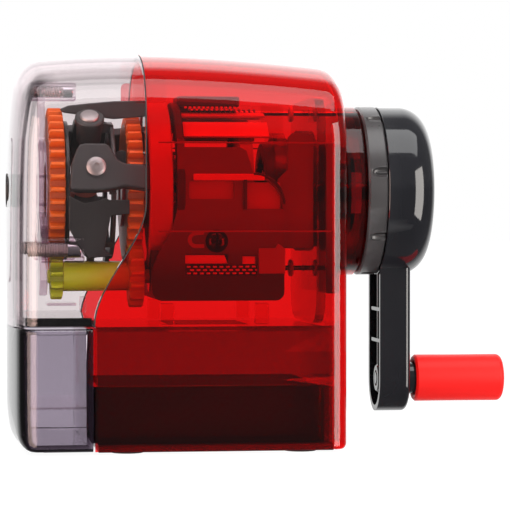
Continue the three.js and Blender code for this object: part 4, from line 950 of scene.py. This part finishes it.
def knob():
    """The knob's pin with its collar, and the knob with a rounded end."""
    low, high = span("knob_pin")
    axis = (0, (low.z + high.z) / 2)
    pin = turned([(low.x, 0), (low.x, 1.7), (low.x + 0.4, 2.1), (ARM_END + 0.1, 2.1), (ARM_END + 0.1, 4.6),
                  (ARM_END + 0.5, 4.9), (ARM_END + 2.6, 4.9), (ARM_END + 3.2, 4.3), (ARM_END + 3.2, 2.1),
                  (high.x - 0.4, 2.1), (high.x, 1.7), (high.x, 0)], 48, axis)
    finish(smooth(pin), "knob_pin_turned", "crank", BLACK_GLOSS, "black_gloss", "knob_pin")
    low, high = span("crank_knob")
    radius = (high.z - low.z) / 2
    start, end = low.x - 0.3, high.x - 0.7
    profile = [(start + 3, 2.6), (start + 3, 5.4), (start + 0.4, 5.5), (start, 5.9), (start, radius - 0.6),
               (start + 0.6, radius), (start + 12, radius - 0.04)]
    for t in [math.radians(11.25 * i) for i in range(9)]:
        profile.append((end - 0.25 - 1.7 * (1 - math.sin(t)), radius - 1.7 * (1 - math.cos(t))))
    profile += [(end - 0.02, 3), (end, 0)]
    grip = smooth(turned(profile, 96, axis), 40)
    finish(grip, "crank_knob_grip", "knob", KNOB_RED, "knob_red", "crank_knob")


rear_collar()
adjust_dial()
crank()
knob()

# -------------------------------------------------- feed unit: holder, levers, rollers and rivets

FEED_X, FEED_END = span("feed_frame")[0].x, span("feed_frame")[1].x
PIVOT_X, PIVOT_Z = FEED_X + 6.2, AXIS_Z + 22.6
ROLLER_X, ROLLER_Z = FEED_X + 4.6, AXIS_Z + 6.5
RIVET = (FEED_X + 6.8, AXIS_Z)
SHOE_END = FEED_X + 13.2
LEVER_ANGLES, ARM_ANGLES = (95, 215, 335), (165, 275, 35)
BOSS_X, BOSS_ANGLE = PIVOT_X - 0.8, 128


def feed_holder():
    """Three shoes on arms from the frame, held by a thin ring, with ears for the levers' pins."""
    shoe = [*beside(FEED_X, (-1.1, -6.4), (-0.6, -6.9), (1.5, -7.2)),
            *beside(SHOE_END, (-6, -7.2), (-2, -6.8), (0, -6.3), (1.8, -5.9), (4, -6.1)),
            *beside(FEED_END, (-0.1, -7), (-0.1, 0.9)),
            *beside(SHOE_END, (3, 1.1), (1.2, 1.6), (0, 2.6), (-1.2, 4.4), (-2.4, 6.6), (-3.6, 7.3)),
            *beside(FEED_X, (3.6, 7.3), (2.2, 6.9), (1.2, 5.6), (-0.4, 1))]
    plate = soften(slab(shoe, -26.1, -22.2, "Y"), 0.7, 3, 40)
    seat = rod(3.3, -26.35, -25.9, RIVET, 40, "Y")
    web = block(SHOE_END - 2.2, SHOE_END - 0.9, -23, -18.6, AXIS_Z - 6.6, AXIS_Z + 4)
    arm = smooth(unite(plate, soften(web, 0.3), seat))
    parts = [copy_of(arm, angle - 180) for angle in ARM_ANGLES]
    bpy.data.objects.remove(arm)
    front = FEED_X - 1.75
    parts += [smooth(turned(hoop(SHOE_END - 1.4, SHOE_END, 17.1, 20.9, 0.3, 0.3, 0.3))),
              smooth(turned(hoop(front, front + 1.2, 17.5, 21.1, 0.2, 0.2, 0.2)))]
    ear = [*beside(FEED_X, (3.2, 18.4)), *arc(PIVOT_X, PIVOT_Z, 3.1, 180, 20),
           *beside(SHOE_END, (-4, 21), (0, 20.4), (0, 18)), *beside(FEED_X, (5, 17.6))]
    for angle in LEVER_ANGLES:
        for low in (-6.7, 4.8):
            parts.append(about_axis(eased(slab(ear, low, low + 1.9, "Y"), 0.35), angle - 90))
    beam = slab([*beside(FEED_X, (-3.2, 24.3), (-2.2, 23.3), (6, 22.2)), *beside(SHOE_END, (0, 21.4)),
                 *beside(FEED_END, (-0.1, 22.2), (-0.1, 27)), *beside(SHOE_END, (0, 26.8)),
                 *beside(FEED_X, (5.5, 26.1), (-0.6, 25.4))], -11, -8.2, "Y")
    stop = rod(2.3, -12.5, -7.5, (SHOE_END + 2.2, AXIS_Z + 9.6), 28, "Y")
    boss = turned([(19, 0), (19, 3.4), (19.4, 3.7), (25.4, 3.9), (26.2, 4.4), (27.2, 4.4), (27.6, 4),
                   (27.6, 0)], 40, (0, 0))
    parts += [eased(beam, 0.5, 3), eased(stop, 0.3), outward(boss, BOSS_X, BOSS_ANGLE)]
    finish(unite(*parts), "feed_holder", "casing", GRAPHITE, "graphite", "feed_frame")


def ribbed_roller():
    """A rubber roller with ribs round it, on the near side of a lever at the top."""
    piece = rod(3.6, -2.45, 2.45, (ROLLER_X, ROLLER_Z), 48, "Y")
    number = itertools.count()
    select(edit(piece), "FACE", lambda face: abs(face.normal.y) < 0.5 and next(number) % 2 == 0)
    bpy.ops.mesh.inset(thickness=0.03 * MM, depth=0.28 * MM, use_individual=True, use_even_offset=False)
    leave()
    return smooth(soften(piece, 0.06, 1), 25)


def lever_bushes():
    """Two tapered bushes, one on each side of a lever at the top."""
    taper = [(-6.7, 0), (-6.7, 2), (-6.3, 2.55), (-5.7, 3), (-4.4, 3.75), (-4.4, 0)]
    bush = smooth(turned(taper, 32, (0, 0)), 50)
    pair = unite(bush, smooth(mirrored(bush, (-1, 1, 1)), 50))
    pair.rotation_euler = (0, 0, math.pi / 2)
    pair.location = (ROLLER_X * MM, 0, ROLLER_Z * MM)
    return settle(pair)


def feed_levers():
    """The levers with their bushes, rollers, axles and pins, made at the top and turned to their places."""
    lever = slab([*beside(ROLLER_X, (-4.4, 12.4)), *arc(ROLLER_X, ROLLER_Z, 2.6, 215, 325, 6),
                  *beside(ROLLER_X, (3.4, 8.6), (6, 14)), *beside(PIVOT_X, (4.9, 19)),
                  *arc(PIVOT_X, PIVOT_Z, 3.2, 10, 150), *beside(PIVOT_X, (-4.6, 21), (-5.5, 17))],
                 -4.3, 4.3, "Y")
    cut(lever, block(ROLLER_X - 9, ROLLER_X + 9, -2.8, 2.8, AXIS_Z - 2, AXIS_Z + 11.2))
    eased(lever, 0.45, 3, 35)
    roller, bushes = ribbed_roller(), lever_bushes()
    for i, angle in enumerate(LEVER_ANGLES, 1):
        finish(copy_of(lever, angle - 90), f"feed_lever_{i}_shaped", f"lever_{i}", BLACK_MATT, "graphite",
               f"feed_lever_{i}")
        finish(copy_of(bushes, angle - 90), f"lever_bush_{i}", f"lever_{i}", ROLLER, "roller_rubber")
        finish(copy_of(roller, angle - 90), f"feed_roller_{i}_ribbed", f"roller_{i}", ROLLER, "roller_rubber",
               f"feed_roller_{i}")
        axle = eased(rod(1.0, -4.5, 4.5, (ROLLER_X, ROLLER_Z), 20, "Y"), 0.12)
        finish(about_axis(axle, angle - 90), f"roller_axle_{i}_round", f"lever_{i}", STEEL, "steel",
               f"roller_axle_{i}")
        pin = smooth(rod(1.5, -6.9, 6.9, (PIVOT_X, PIVOT_Z), 24, "Y"))
        heads = [domed_head(2.7, (PIVOT_X, side * 6.8, PIVOT_Z), 1.1, side) for side in (-1, 1)]
        pin = about_axis(unite(pin, *heads), angle - 90)
        finish(pin, f"lever_pin_{i}_domed", "casing", BLACK_MATT, "steel", f"lever_pin_{i}")
    for piece in (lever, roller, bushes):
        bpy.data.objects.remove(piece)


def feed_rivets():
    """A hollow rivet in each shoe, and one in the boss of the holder."""
    for i, angle in enumerate(ARM_ANGLES, 1):
        head = domed_head(2.9, (RIVET[0], -26.3, RIVET[1]), 0.9)
        cut(head, rod(0.9, -30, -26.6, RIVET, 20, "Y"))
        rivet = unite(head, smooth(rod(1.2, -26.4, -16.8, RIVET, 20, "Y")))
        about_axis(smooth(rivet, 40), angle - 180)
        finish(rivet, f"shoe_rivet_{i}_domed", "casing", STEEL_DULL, "steel", f"shoe_rivet_{i}")
    head = turned([(27.5, 0), (27.5, 2.9), (27.9, 2.9), (28.3, 2.6), (28.5, 2), (28.6, 0)], 40, (0, 0))
    finish(outward(head, BOSS_X, BOSS_ANGLE), "boss_rivet", "casing", STEEL_DULL, "steel")


def side_guard():
    """Flat guard plate beside the lowest lever."""
    guard = slab([*beside(FEED_X, (-1.3, -1.8), (3.2, -4), (6.5, -3.4), (9.6, -2.4)),
                  *beside(SHOE_END, (-2.6, -3.1), (3.4, -3.1), (3.4, -7.2), (-2.2, -7.8)),
                  *beside(SHOE_END, (-4, -18), (-1.4, -19.7)),
                  *beside(FEED_X, (4.4, -20.3), (1.4, -16.5), (-1.4, -11.4))], -26.8, -25.6, "Y")
    finish(eased(guard, 0.35, 3), "feed_yoke", "casing", BLACK_MATT, "graphite")


feed_holder()
feed_levers()
feed_rivets()
side_guard()

# -------------------------------------------------- clear bracket and its screws

BRACKET_X, BRACKET_END = (corner.x for corner in span("front_bracket"))
BRACKET_BACK = BRACKET_X + 2.5
SCREW_OUT, SCREW_ANGLES = 30, (90, 216.4, 323.6)


def screw_boss(place, round_boss):
    """A boss of the bracket: a thin round one at the top, and square ones with a bore below."""
    if round_boss:
        return smooth(turned(hoop(BRACKET_X - 2, BRACKET_END + 4.4, 2, 3, 0.4, 0.3), 36, place))
    y, z = place
    boss = slab(round_rect(y - 3.9, y + 3.9, z - 3.9, z + 3.9, 2.2), BRACKET_X + 0.1, BRACKET_END + 5.4)
    return eased(cut(boss, rod(2.45, BRACKET_X - 3, BRACKET_END + 9, place, 28)), 0.35)


def bracket_screw(i, place, wide, start, end):
    """A threaded screw and its slotted head, scaled across by wide."""
    turn_end = BRACKET_END + 0.6
    thread = [(start, 0), (start + 0.3, 1.3 * wide)]
    x = start + 0.5
    while x < turn_end - 0.7:
        thread += [(x, 1.88 * wide), (x + 0.3, 2.15 * wide), (x + 0.42, 2.15 * wide), (x + 0.7, 1.88 * wide)]
        x += 0.76
    thread += [(turn_end, 1.75 * wide), (turn_end, 0)]
    head = turned([(turn_end + 0.02, 0), (turn_end + 0.02, 2.3 * wide), (end - 0.5, 2.3 * wide),
                   (end - 0.15, 2.1 * wide), (end, 1.7 * wide), (end, 0)], 32, place)
    y, z = place
    cut(head, block(end - 0.9, end + 2, y - 0.4, y + 0.4, z - 2.6, z + 2.6))
    finish(smooth(turned(thread, 28, place), 20), f"bracket_screw_{i}_threaded", "casing", STEEL_DULL, "steel",
           f"bracket_screw_{i}")
    finish(smooth(head, 35), f"bracket_screw_{i}_head", "casing", STEEL, "steel")


def bracket():
    """Clear disc in front of the front gear, with spokes to its screw bosses and an arm to the lay shaft."""
    disc = turned([(BRACKET_X, 8.6), (BRACKET_X, 15.6), (BRACKET_X + 0.4, 16), (BRACKET_BACK - 0.4, 16),
                   (BRACKET_BACK, 15.6), (BRACKET_BACK, 8.6), (BRACKET_END, 8.3), (BRACKET_END, 5.1),
                   (BRACKET_X, 5.0), (BRACKET_X, 8.6)], 72)
    parts = [smooth(disc)]
    for i, angle in enumerate(SCREW_ANGLES, 1):
        place = on_circle(SCREW_OUT, angle)
        spoke = block(BRACKET_X + 0.05, BRACKET_BACK - 0.05, -3.2, 3.2, AXIS_Z + 15.2, AXIS_Z + SCREW_OUT)
        parts += [eased(about_axis(spoke, angle - 90), 0.4), screw_boss(place, i == 1)]
        wide, before, behind = (0.8, 1.4, 3.6) if i == 1 else (1, 4.2, 4.6)
        bracket_screw(i, place, wide, BRACKET_X - before, BRACKET_END + behind)
    y, z = LAY_AXIS
    arm = block(BRACKET_X + 0.02, BRACKET_BACK - 0.02, -5, 5, AXIS_Z + 15.2, AXIS_Z + 34)
    cradle = block(BRACKET_BACK - 0.5, BRACKET_END + 3.2, y - 8, y + 5, z - 8.6, z - 7.7)
    tab = block(BRACKET_END + 4.2, BRACKET_END + 6.1, y - 8, y - 5.5, z - 10.6, z - 5.8)
    parts += [eased(about_axis(arm, LAY_ANGLE - 90), 0.5, 3), eased(cradle, 0.3), eased(tab, 0.4)]
    finish(unite(*parts), "front_bracket_clear", "casing", CLEAR, "clear_bracket", "front_bracket")


bracket()

# -------------------------------------------------- frame round the cutter

FRAME_LOW = span("mechanism_frame")[0].z
FRAME_X, FRAME_END = (corner.x for corner in span("mechanism_frame"))
RING_X = FRAME_X + 7.6
FRONT_FOOT = arc(FRAME_X + 3.3, AXIS_Z - 29.8, 3.2, 180, 262, 5)
REAR_FOOT = [*beside(FRAME_X, (4, -33)), *arc(FRAME_END - 3.2, AXIS_Z - 30.4, 2.6, 270, 360, 5)]
CATCH_X, CATCH_Z = RING_X + 5.6, AXIS_Z - 14.9
FRAME_SCREW = (RING_X + 11.8, AXIS_Z - 15.3)


def frame_front():
    """Clear front plate with a bearing for the lay shaft and four legs, and the drum behind it."""
    end = FRAME_X + 2.6
    parts = [smooth(turned(hoop(FRAME_X, end, 11.5, 27, 0.4, 0.4), 96)),
             smooth(turned(hoop(FRAME_X, end + 1.3, 2.4, 5, 0.4, 0.4), 36, LAY_AXIS))]
    for x in (FRAME_X + 3, FRAME_END - 9):
        for y in (-22.4, 22.4):
            parts.append(eased(block(x, x + 4, y - 1.9, y + 1.9, FRAME_LOW, AXIS_Z - 33.8), 0.4))
    finish(unite(*parts), "frame_front_plate", "casing", RED_LIGHT, "red_shell", "mechanism_frame")
    drum = turned(hoop(FRAME_X - 0.4, RING_X - 1.2, 23.8, 27.3, 0.4, 0.4, 0.2), 96)
    finish(smooth(drum), "frame_drum", "casing", RED_DRUM, "red_shell")


def cutter_frame():
    """Dark frame: ring, trough below, beam and lugs, and the ridges round the windows."""
    trough = slab([*REAR_FOOT, *beside(FRAME_END, (-0.6, -18)), *beside(FRAME_X, (0.1, -18), (0.1, -29.8)),
                   *FRONT_FOOT], -24.4, 24.4, "Y")
    cut(trough, rod(23, FRAME_X - 5, FRAME_END + 5, CRANK_AXIS, 96),
        block(RING_X + 2.2, FRAME_END - 9, -19, 19, AXIS_Z - 26.6, AXIS_Z - 17),
        block(RING_X + 4, FRAME_END - 8, -13, 13, AXIS_Z - 40, AXIS_Z - 20))
    bend_x, bend_z = FRAME_END - 9.6, AXIS_Z - 4.2
    ridge = eased(slab([*arc(bend_x, bend_z, 9.3, 0, 92, 12), *arc(bend_x, bend_z, 8.5, 92, 0, 12)],
                       -27, -26.1, "Y"), 0.2)
    parts = [smooth(turned(hoop(RING_X, RING_X + 2.5, 23.2, 26.9, 0.3, 0.3), 96)), eased(trough, 0.4), ridge,
             mirrored(ridge),
             eased(block(RING_X + 19.7, RING_X + 20.9, -27, -24.7, AXIS_Z - 6, AXIS_Z + 3), 0.2),
             eased(block(RING_X + 2, RING_X + 21, -7, 7, AXIS_Z + 25.4, AXIS_Z + 28.6), 0.6, 3),
             eased(block(RING_X + 2, RING_X + 5.6, -4, 4, AXIS_Z + 22.6, AXIS_Z + 26), 0.3),
             eased(block(RING_X + 2.2, RING_X + 5.4, -15, 15, AXIS_Z - 27, AXIS_Z - 22.5), 0.3)]
    finish(unite(*parts), "cutter_frame", "casing", GRAPHITE, "graphite")


def frame_side_plates():
    """Maroon plates on both sides, with their windows."""
    side = slab([*REAR_FOOT, *arc(FRAME_END - 9.6, AXIS_Z - 4.2, 9, 0, 92, 10),
                 *beside(FRAME_END, (-12, 11.6), (-14, 12.6)),
                 *beside(RING_X, (2.2, 12.6), (2.2, 15), (0.1, 15), (0.1, -6), (-1.6, -12)),
                 *beside(FRAME_X, (2.4, -18), (0.1, -24), (0.1, -29.8)), *FRONT_FOOT], -26.2, -24.6, "Y")
    windows = [round_rect(RING_X + 3.6, RING_X + 17, AXIS_Z - 2.8, AXIS_Z + 2.6, 0.8),
               [*beside(RING_X, (20.8, -5.7)), *beside(FRAME_END, (-1.1, -5.7)),
                *arc(FRAME_END - 9.4, AXIS_Z - 4.6, 8, 12, 72, 8), *beside(RING_X, (20.8, 2.7))],
               round_rect(RING_X + 2.4, RING_X + 15.2, AXIS_Z - 22.2, AXIS_Z - 19.2, 0.4),
               round_rect(RING_X + 2.4, RING_X + 24, AXIS_Z - 25.6, AXIS_Z - 22.3, 0.4),
               round_rect(RING_X + 19.4, RING_X + 23.6, AXIS_Z - 22.3, AXIS_Z - 19.6, 0.3)]
    cut(side, *[slab(window, -30, -20, "Y") for window in windows])
    finish(both_sides(eased(side, 0.25)), "frame_side_plates", "casing", MAROON, "red_shell")


def cutter_guides():
    """Red guide strips over and beside the cutter, with rows of bricks in the lower window and on top."""
    parts = []
    for start, end in ((99, 109), (121, 138)):
        strip = [*arc(*CRANK_AXIS, 24.1, start, end, 12), *arc(*CRANK_AXIS, 23.2, end, start, 12)]
        parts.append(eased(slab(strip, RING_X + 2.8, FRAME_END - 4), 0.25))
    wedge = slab(beside(RING_X, (2.4, -22), (15.2, -22), (14.2, -19.4), (2.4, -19.4)), -25.4, -24.5, "Y")
    parts += [eased(block(RING_X + 4.8, FRAME_END - 6.6, -26.9, -26.25, AXIS_Z + 2.7, AXIS_Z + 4.7), 0.3, 3),
              eased(wedge, 0.15),
              eased(block(RING_X + 19.6, RING_X + 23.5, -25.4, -24.5, AXIS_Z - 22.1, AXIS_Z - 19.8), 0.15)]
    for row, z in enumerate((AXIS_Z - 22.9, AXIS_Z - 23.9, AXIS_Z - 24.9)):
        for i in range(11):
            x = RING_X + 3 + 1.95 * i + (row % 2) * 0.97
            parts.append(eased(block(x, x + 1.15, -25.2, -24.5, z - 0.27, z + 0.27), 0.14))
    for i in range(13):
        x = RING_X + 3 + 1.35 * i
        parts.append(eased(block(x, x + 0.8, -17.6, -16.8, AXIS_Z + 24.4, AXIS_Z + 25), 0.14))
    finish(both_sides(*parts), "cutter_guides", "casing", RED_SOLID, "red_shell")


def frame_window_light_plates():
    """Red plates behind the two upper windows of each side, brighter than the shaded inside there: painted
    light, standing in for the lit red seen through the windows.
    """
    backs = [round_rect(RING_X + 3, RING_X + 17.6, AXIS_Z - 3.4, AXIS_Z + 3.2, 0.8),
             round_rect(RING_X + 20.4, FRAME_END - 1.6, AXIS_Z - 6.2, AXIS_Z + 2.2, 0.8)]
    backs = [eased(slab(back, -24.58, -24.3, "Y"), 0.06, 1) for back in backs]
    finish(both_sides(*backs), "frame_window_light_plates", "casing", WINDOW_LIGHT_RED, "red_shell")


def frame_catches():
    """Hooked catches and end stops on the side plates, and the slotted screws."""
    hook = [*beside(RING_X, (8, -12.4), (8, -13.4)), *arc(CATCH_X, CATCH_Z, 1.3, 90, 270),
            *beside(RING_X, (8, -16.2), (8, -17.3)), *arc(CATCH_X, CATCH_Z, 2.5, 270, 90, 10)]
    stop = beside(FRAME_END, (-8.4, -25), (-0.4, -25), (-0.4, -17.6), (-2.6, -16), (-3.4, -17.4),
                  (-8.4, -17.4))
    finish(both_sides(eased(slab(hook, -26.7, -26.2, "Y"), 0.15), eased(slab(stop, -27, -26.2, "Y"), 0.3)),
           "frame_catches", "casing", WINE, "red_shell")
    x, z = FRAME_SCREW
    washer = eased(rod(3.4, -26.6, -26.1, FRAME_SCREW, 40, "Y"), 0.12)
    head = cut(domed_head(2.5, (x, -26.6, z), 1.0), block(x - 0.3, x + 0.3, -29, -27.1, z - 2.7, z + 3.3))
    finish(both_sides(unite(washer, smooth(head, 40))), "frame_screws", "casing", BLACK_GLOSS, "black_gloss")


frame_front()
cutter_frame()
frame_side_plates()
cutter_guides()
frame_window_light_plates()
frame_catches()

# -------------------------------------------------- fittings of the casing


def housing_ribs():
    """Thin ribs inside the housing's side walls."""
    inside = WALL - width_at(REAR_X)
    start, end, high = FRONT_X + 43.5, REAR_X - 5, 0.45
    ribs = []
    for z in (AXIS_Z + 13.6, AXIS_Z - 12.6):
        outline = [(start, z), (end, z), (end, z + high), (start, z + high)]
        ribs.append(eased(slab(outline, inside + 0.06, inside + 1.3, "Y"), 0.12))
    finish(both_sides(*ribs), "housing_ribs", "casing", WINE, "red_shell")


def housing_tabs():
    """Snap tabs that reach from the housing under the cover."""
    tab = slab(round_rect(FRONT_X + 36.5, FRONT_X + 46.5, AXIS_Z + 25.6, AXIS_Z + 34, 1.6), -23.8, -22.6, "Y")
    finish(both_sides(eased(tab, 0.3)), "housing_tabs", "casing", RED_LIGHT, "red_shell")


def cover_floor():
    """Floor of the cover over the drawer's front, with rounded front corners."""
    half = width_at(FRONT_X + 20) - WALL - 0.1
    front = [(FRONT_X + 2.5 + stand_back(FRONT_X, y, 40), y) for y in (0, 9, 18, 25)]
    radius = 5.2
    corner_x, corner_y = front[-1][0] + radius, half - radius
    corner = [(corner_x - radius * math.sin(t), corner_y + radius * math.cos(t)) for t in (0.3, 0.6, 0.9, 1.2)]
    near = [(SEAM_LOW_X - 0.6, half), (corner_x + 0.6, half), *corner, *reversed(front)]
    lip = slab([(SEAM_LOW_X - 0.6, 0), *near, *[(x, -y) for x, y in reversed(near[:-1])]],
               COVER_LOW + 0.15, COVER_LOW + 2.7, "Z")
    finish(eased(lip, 0.3), "cover_floor", "casing", SMOKE_LIP, "smoke_shell")


def seam_shade_strip():
    """Dark strip in the seam between cover and housing: painted shade, standing in for the dark line that the
    clear rims show there.
    """
    thick, sunk = 0.185, 0.04
    stations = [(x, width_at(x) - sunk, COVER_LOW + 0.1, roof_at(x) - sunk)
                for x in (SEAM_TOP_X - thick, SEAM_TOP_X + thick)]
    dark_strip = pulled(section(*stations[0][1:], 0.5, 26), stations, False)
    walled(press(dark_strip, lambda x, y, z: seam_at(z) - SEAM_TOP_X), 1.4)
    finish(smooth(dark_strip), "seam_shade_strip", "casing", FOOT, "graphite")


def rear_fittings():
    """Webs behind the frame, blocks at the rear wall and the collars on the two rods."""
    web = slab(beside(FRAME_END, (-2.4, -17.5), (8.4, -17.5), (8.4, 15.5), (7, 17), (2, 17), (0.6, 15.5),
                      (0.6, 6), (-2.4, 3)), -24.4, -23.4, "Y")
    finish(both_sides(eased(web, 0.3)), "frame_rear_webs", "casing", MAROON, "red_shell")
    rear = REAR_X - WALL - 0.5
    blocks = [eased(block(rear - 3, rear, y - 7.6, y + 7.6, AXIS_Z - 31, AXIS_Z + 14), 0.6, 3)
              for y in (-17.8, 17.8)]
    finish(unite(*blocks), "rear_blocks", "casing", MAROON, "red_shell")
    collars = []
    for name in RODS:
        axis = (0, sum(corner.z for corner in span(name)) / 2)
        for x in (REAR_X - 13.4, REAR_X - 7.3):
            collars.append(turned(hoop(x, x + 1.3, 1.2, 2.6, 0.3, 0.4), 32, axis))
    finish(smooth(unite(*collars)), "rod_collars", "adjust_slide", RED_SOLID, "red_shell")


def drawer_guide():
    """Strip beside the drawer's front, behind its wall."""
    guide = block(SEAM_LOW_X - 1.7, SEAM_LOW_X + 0.2, 29, 30, 17, 37)
    finish(eased(guide, 0.3), "drawer_guide", "casing", RED_CLEAR, "red_shell")


housing_ribs()
housing_tabs()
cover_floor()
seam_shade_strip()
rear_fittings()
drawer_guide()

# -------------------------------------------------- pieces kept in the shape of their nodes


def refined(node, body, material, slot, width=0.3):
    """A copy of a node with its points merged, its flats cleaned and its edges rounded."""
    source = frame["nodes"][node]
    piece = twin_of(source)
    piece.matrix_world = source.matrix_world
    edit(settle(piece), True)
    bpy.ops.mesh.remove_doubles(threshold=2e-6)
    bpy.ops.mesh.dissolve_limited(angle_limit=math.radians(1.5))
    leave()
    if width:
        soften(piece, width)
    return finish(smooth(piece, 40), node + "_finished", body, material, slot, node)


def return_spring(place):
    """The return spring, kept in the shape of its node, with a mesh of its own."""
    spring = refined(f"return_spring_{place}", "casing", STEEL_DRAWN, "steel", 0)
    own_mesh(spring)


refined("bearing_plate", "casing", RED_PLATE, "red_shell")
refined("drawer_bay", "casing", RED_DARK, "red_shell")
refined("base_plate", "casing", BASE_DARK, "red_shell")
refined("ring_gear", "casing", GRAPHITE, "graphite", 0.15)
refined("adjust_slide", "adjust_slide", RED_LIGHT, "red_shell")
refined("cutter_head", "crank", WINE, "red_shell")
refined("helical_cutter", "cutter", STEEL, "steel", 0)
refined("cutter_gear", "cutter", STEEL, "steel", 0)
refined("main_shaft", "crank", STEEL, "steel", 0.2)
refined("cutter_axle", "crank", STEEL, "steel", 0.1)
for i in (1, 2, 3, 4):
    refined(f"foot_{i}", "casing", FOOT, "foot_rubber", 0.25)
for place in ("upper", "lower"):
    refined(f"adjust_rod_{place}", "adjust_slide", STEEL, "steel", 0.1)
    return_spring(place)

# -------------------------------------------------- floor, world, lamps and camera

SEEN_FLOOR = 1.13
ROOM_LIGHT = 0.72


def floor():
    """Pale floor: white as seen, with a soft shadow, and dimmer in reflections in front of the object."""
    clear_selection()
    bpy.ops.mesh.primitive_grid_add(x_subdivisions=8, y_subdivisions=8, size=14, location=(0, 0, 0))
    piece = bpy.context.object
    piece.name = "floor"
    f = Finish("pale floor")
    white, dimmed = (f.node("Emission", {}, {"Color": (1, 1, 1), "Strength": strength})
                     for strength in (SEEN_FLOOR, f.ramp(f.along("Y"), -0.3, 0.3, 0.09, 0.95)))
    matt = f.node("BsdfDiffuse", {}, {"Color": (0.82, 0.82, 0.82)})
    seen = f.mix(0.85, matt, f.mix(f.ray("Is Glossy Ray"), white, dimmed))
    piece.data.materials.append(f.show(f.mix(f.ray("Is Diffuse Ray"), seen, matt)))
    piece.visible_glossy = False


def world():
    """White as seen. For light it is a pale room, and for reflections it is brighter behind the object and
    higher up than in front."""
    f = Finish("studio", bpy.data.worlds, "OutputWorld")
    behind = f.ramp(f.along("Y", "Generated"), 0.45, 0.68, 0.16)
    higher = f.ramp(f.along("Z", "Generated"), 0.03, 0.16, 1, 1.8)
    seen = f.ray("Is Camera Ray").sum("MAXIMUM", f.ray("Is Camera Ray"), f.ray("Is Transmission Ray"))
    ambient = f.node("Mix", {}, {0: f.ray("Is Glossy Ray"), 2: ROOM_LIGHT, 3: behind * higher})
    strength = f.node("Mix", {}, {0: seen, 2: ambient, 3: 1.0})
    bpy.context.scene.world = f.show(f.node("Background", {}, {"Color": (1, 1, 1), "Strength": strength}))


def lamp(name, place, target, size, radiance, lights="all", tint=(1, 1, 1)):
    """A soft lamp of a width and height, in metres, that faces a target."""
    data = bpy.data.lights.new(name, "AREA")
    data.shape = "RECTANGLE"
    data.size, data.size_y = size
    data.energy = radiance * math.pi * size[0] * size[1]
    data.color = tint
    made = bpy.data.objects.new(name, data)
    bpy.context.scene.collection.objects.link(made)
    made.location = place
    made.rotation_euler = (Vector(target) - Vector(place)).to_track_quat("-Z", "Y").to_euler()
    made.visible_camera = False
    made.visible_diffuse = lights != "gloss"
    made.visible_glossy = lights != "matt"


def camera():
    """Long lens, level with the object, a little to the front of square on."""
    data = bpy.data.cameras.new("camera")
    data.lens, data.sensor_width = 176.5, 36
    data.clip_start, data.clip_end = 0.05, 50
    made = bpy.data.objects.new("camera", data)
    bpy.context.scene.collection.objects.link(made)
    azimuth, elevation, distance = math.radians(-7.5), math.radians(0.8), 0.770
    target = Vector((-0.001, 0, 0.0582))
    made.location = target + distance * Vector((math.sin(azimuth) * math.cos(elevation),
                                                -math.cos(azimuth) * math.cos(elevation), math.sin(elevation)))
    made.rotation_euler = (target - made.location).to_track_quat("-Z", "Y").to_euler()
    bpy.context.scene.camera = made


floor()
world()
lamp("overhead softbox", (0.0, -0.19, 0.625), (0.0, -0.025, 0.1), (0.9, 0.41), 3.4)
lamp("low front softbox", (0.1, -1.25, 0.33), (0, 0, 0.1), (1.3, 0.27), 2.6, "matt")
lamp("left panel", (-0.355, -0.233, 0.05), (-0.07, -0.03, 0.05), (0.32, 0.4), 6, "gloss", (1, 0.72, 0.62))
lamp("right panel", (0.276, -0.2687, 0.05), (0.02, -0.03, 0.05), (0.227, 0.4), 8, "gloss", (1, 0.95, 0.9))
camera()

scene = bpy.context.scene
scene.view_settings.view_transform = "Standard"
scene.cycles.transparent_max_bounces = 40
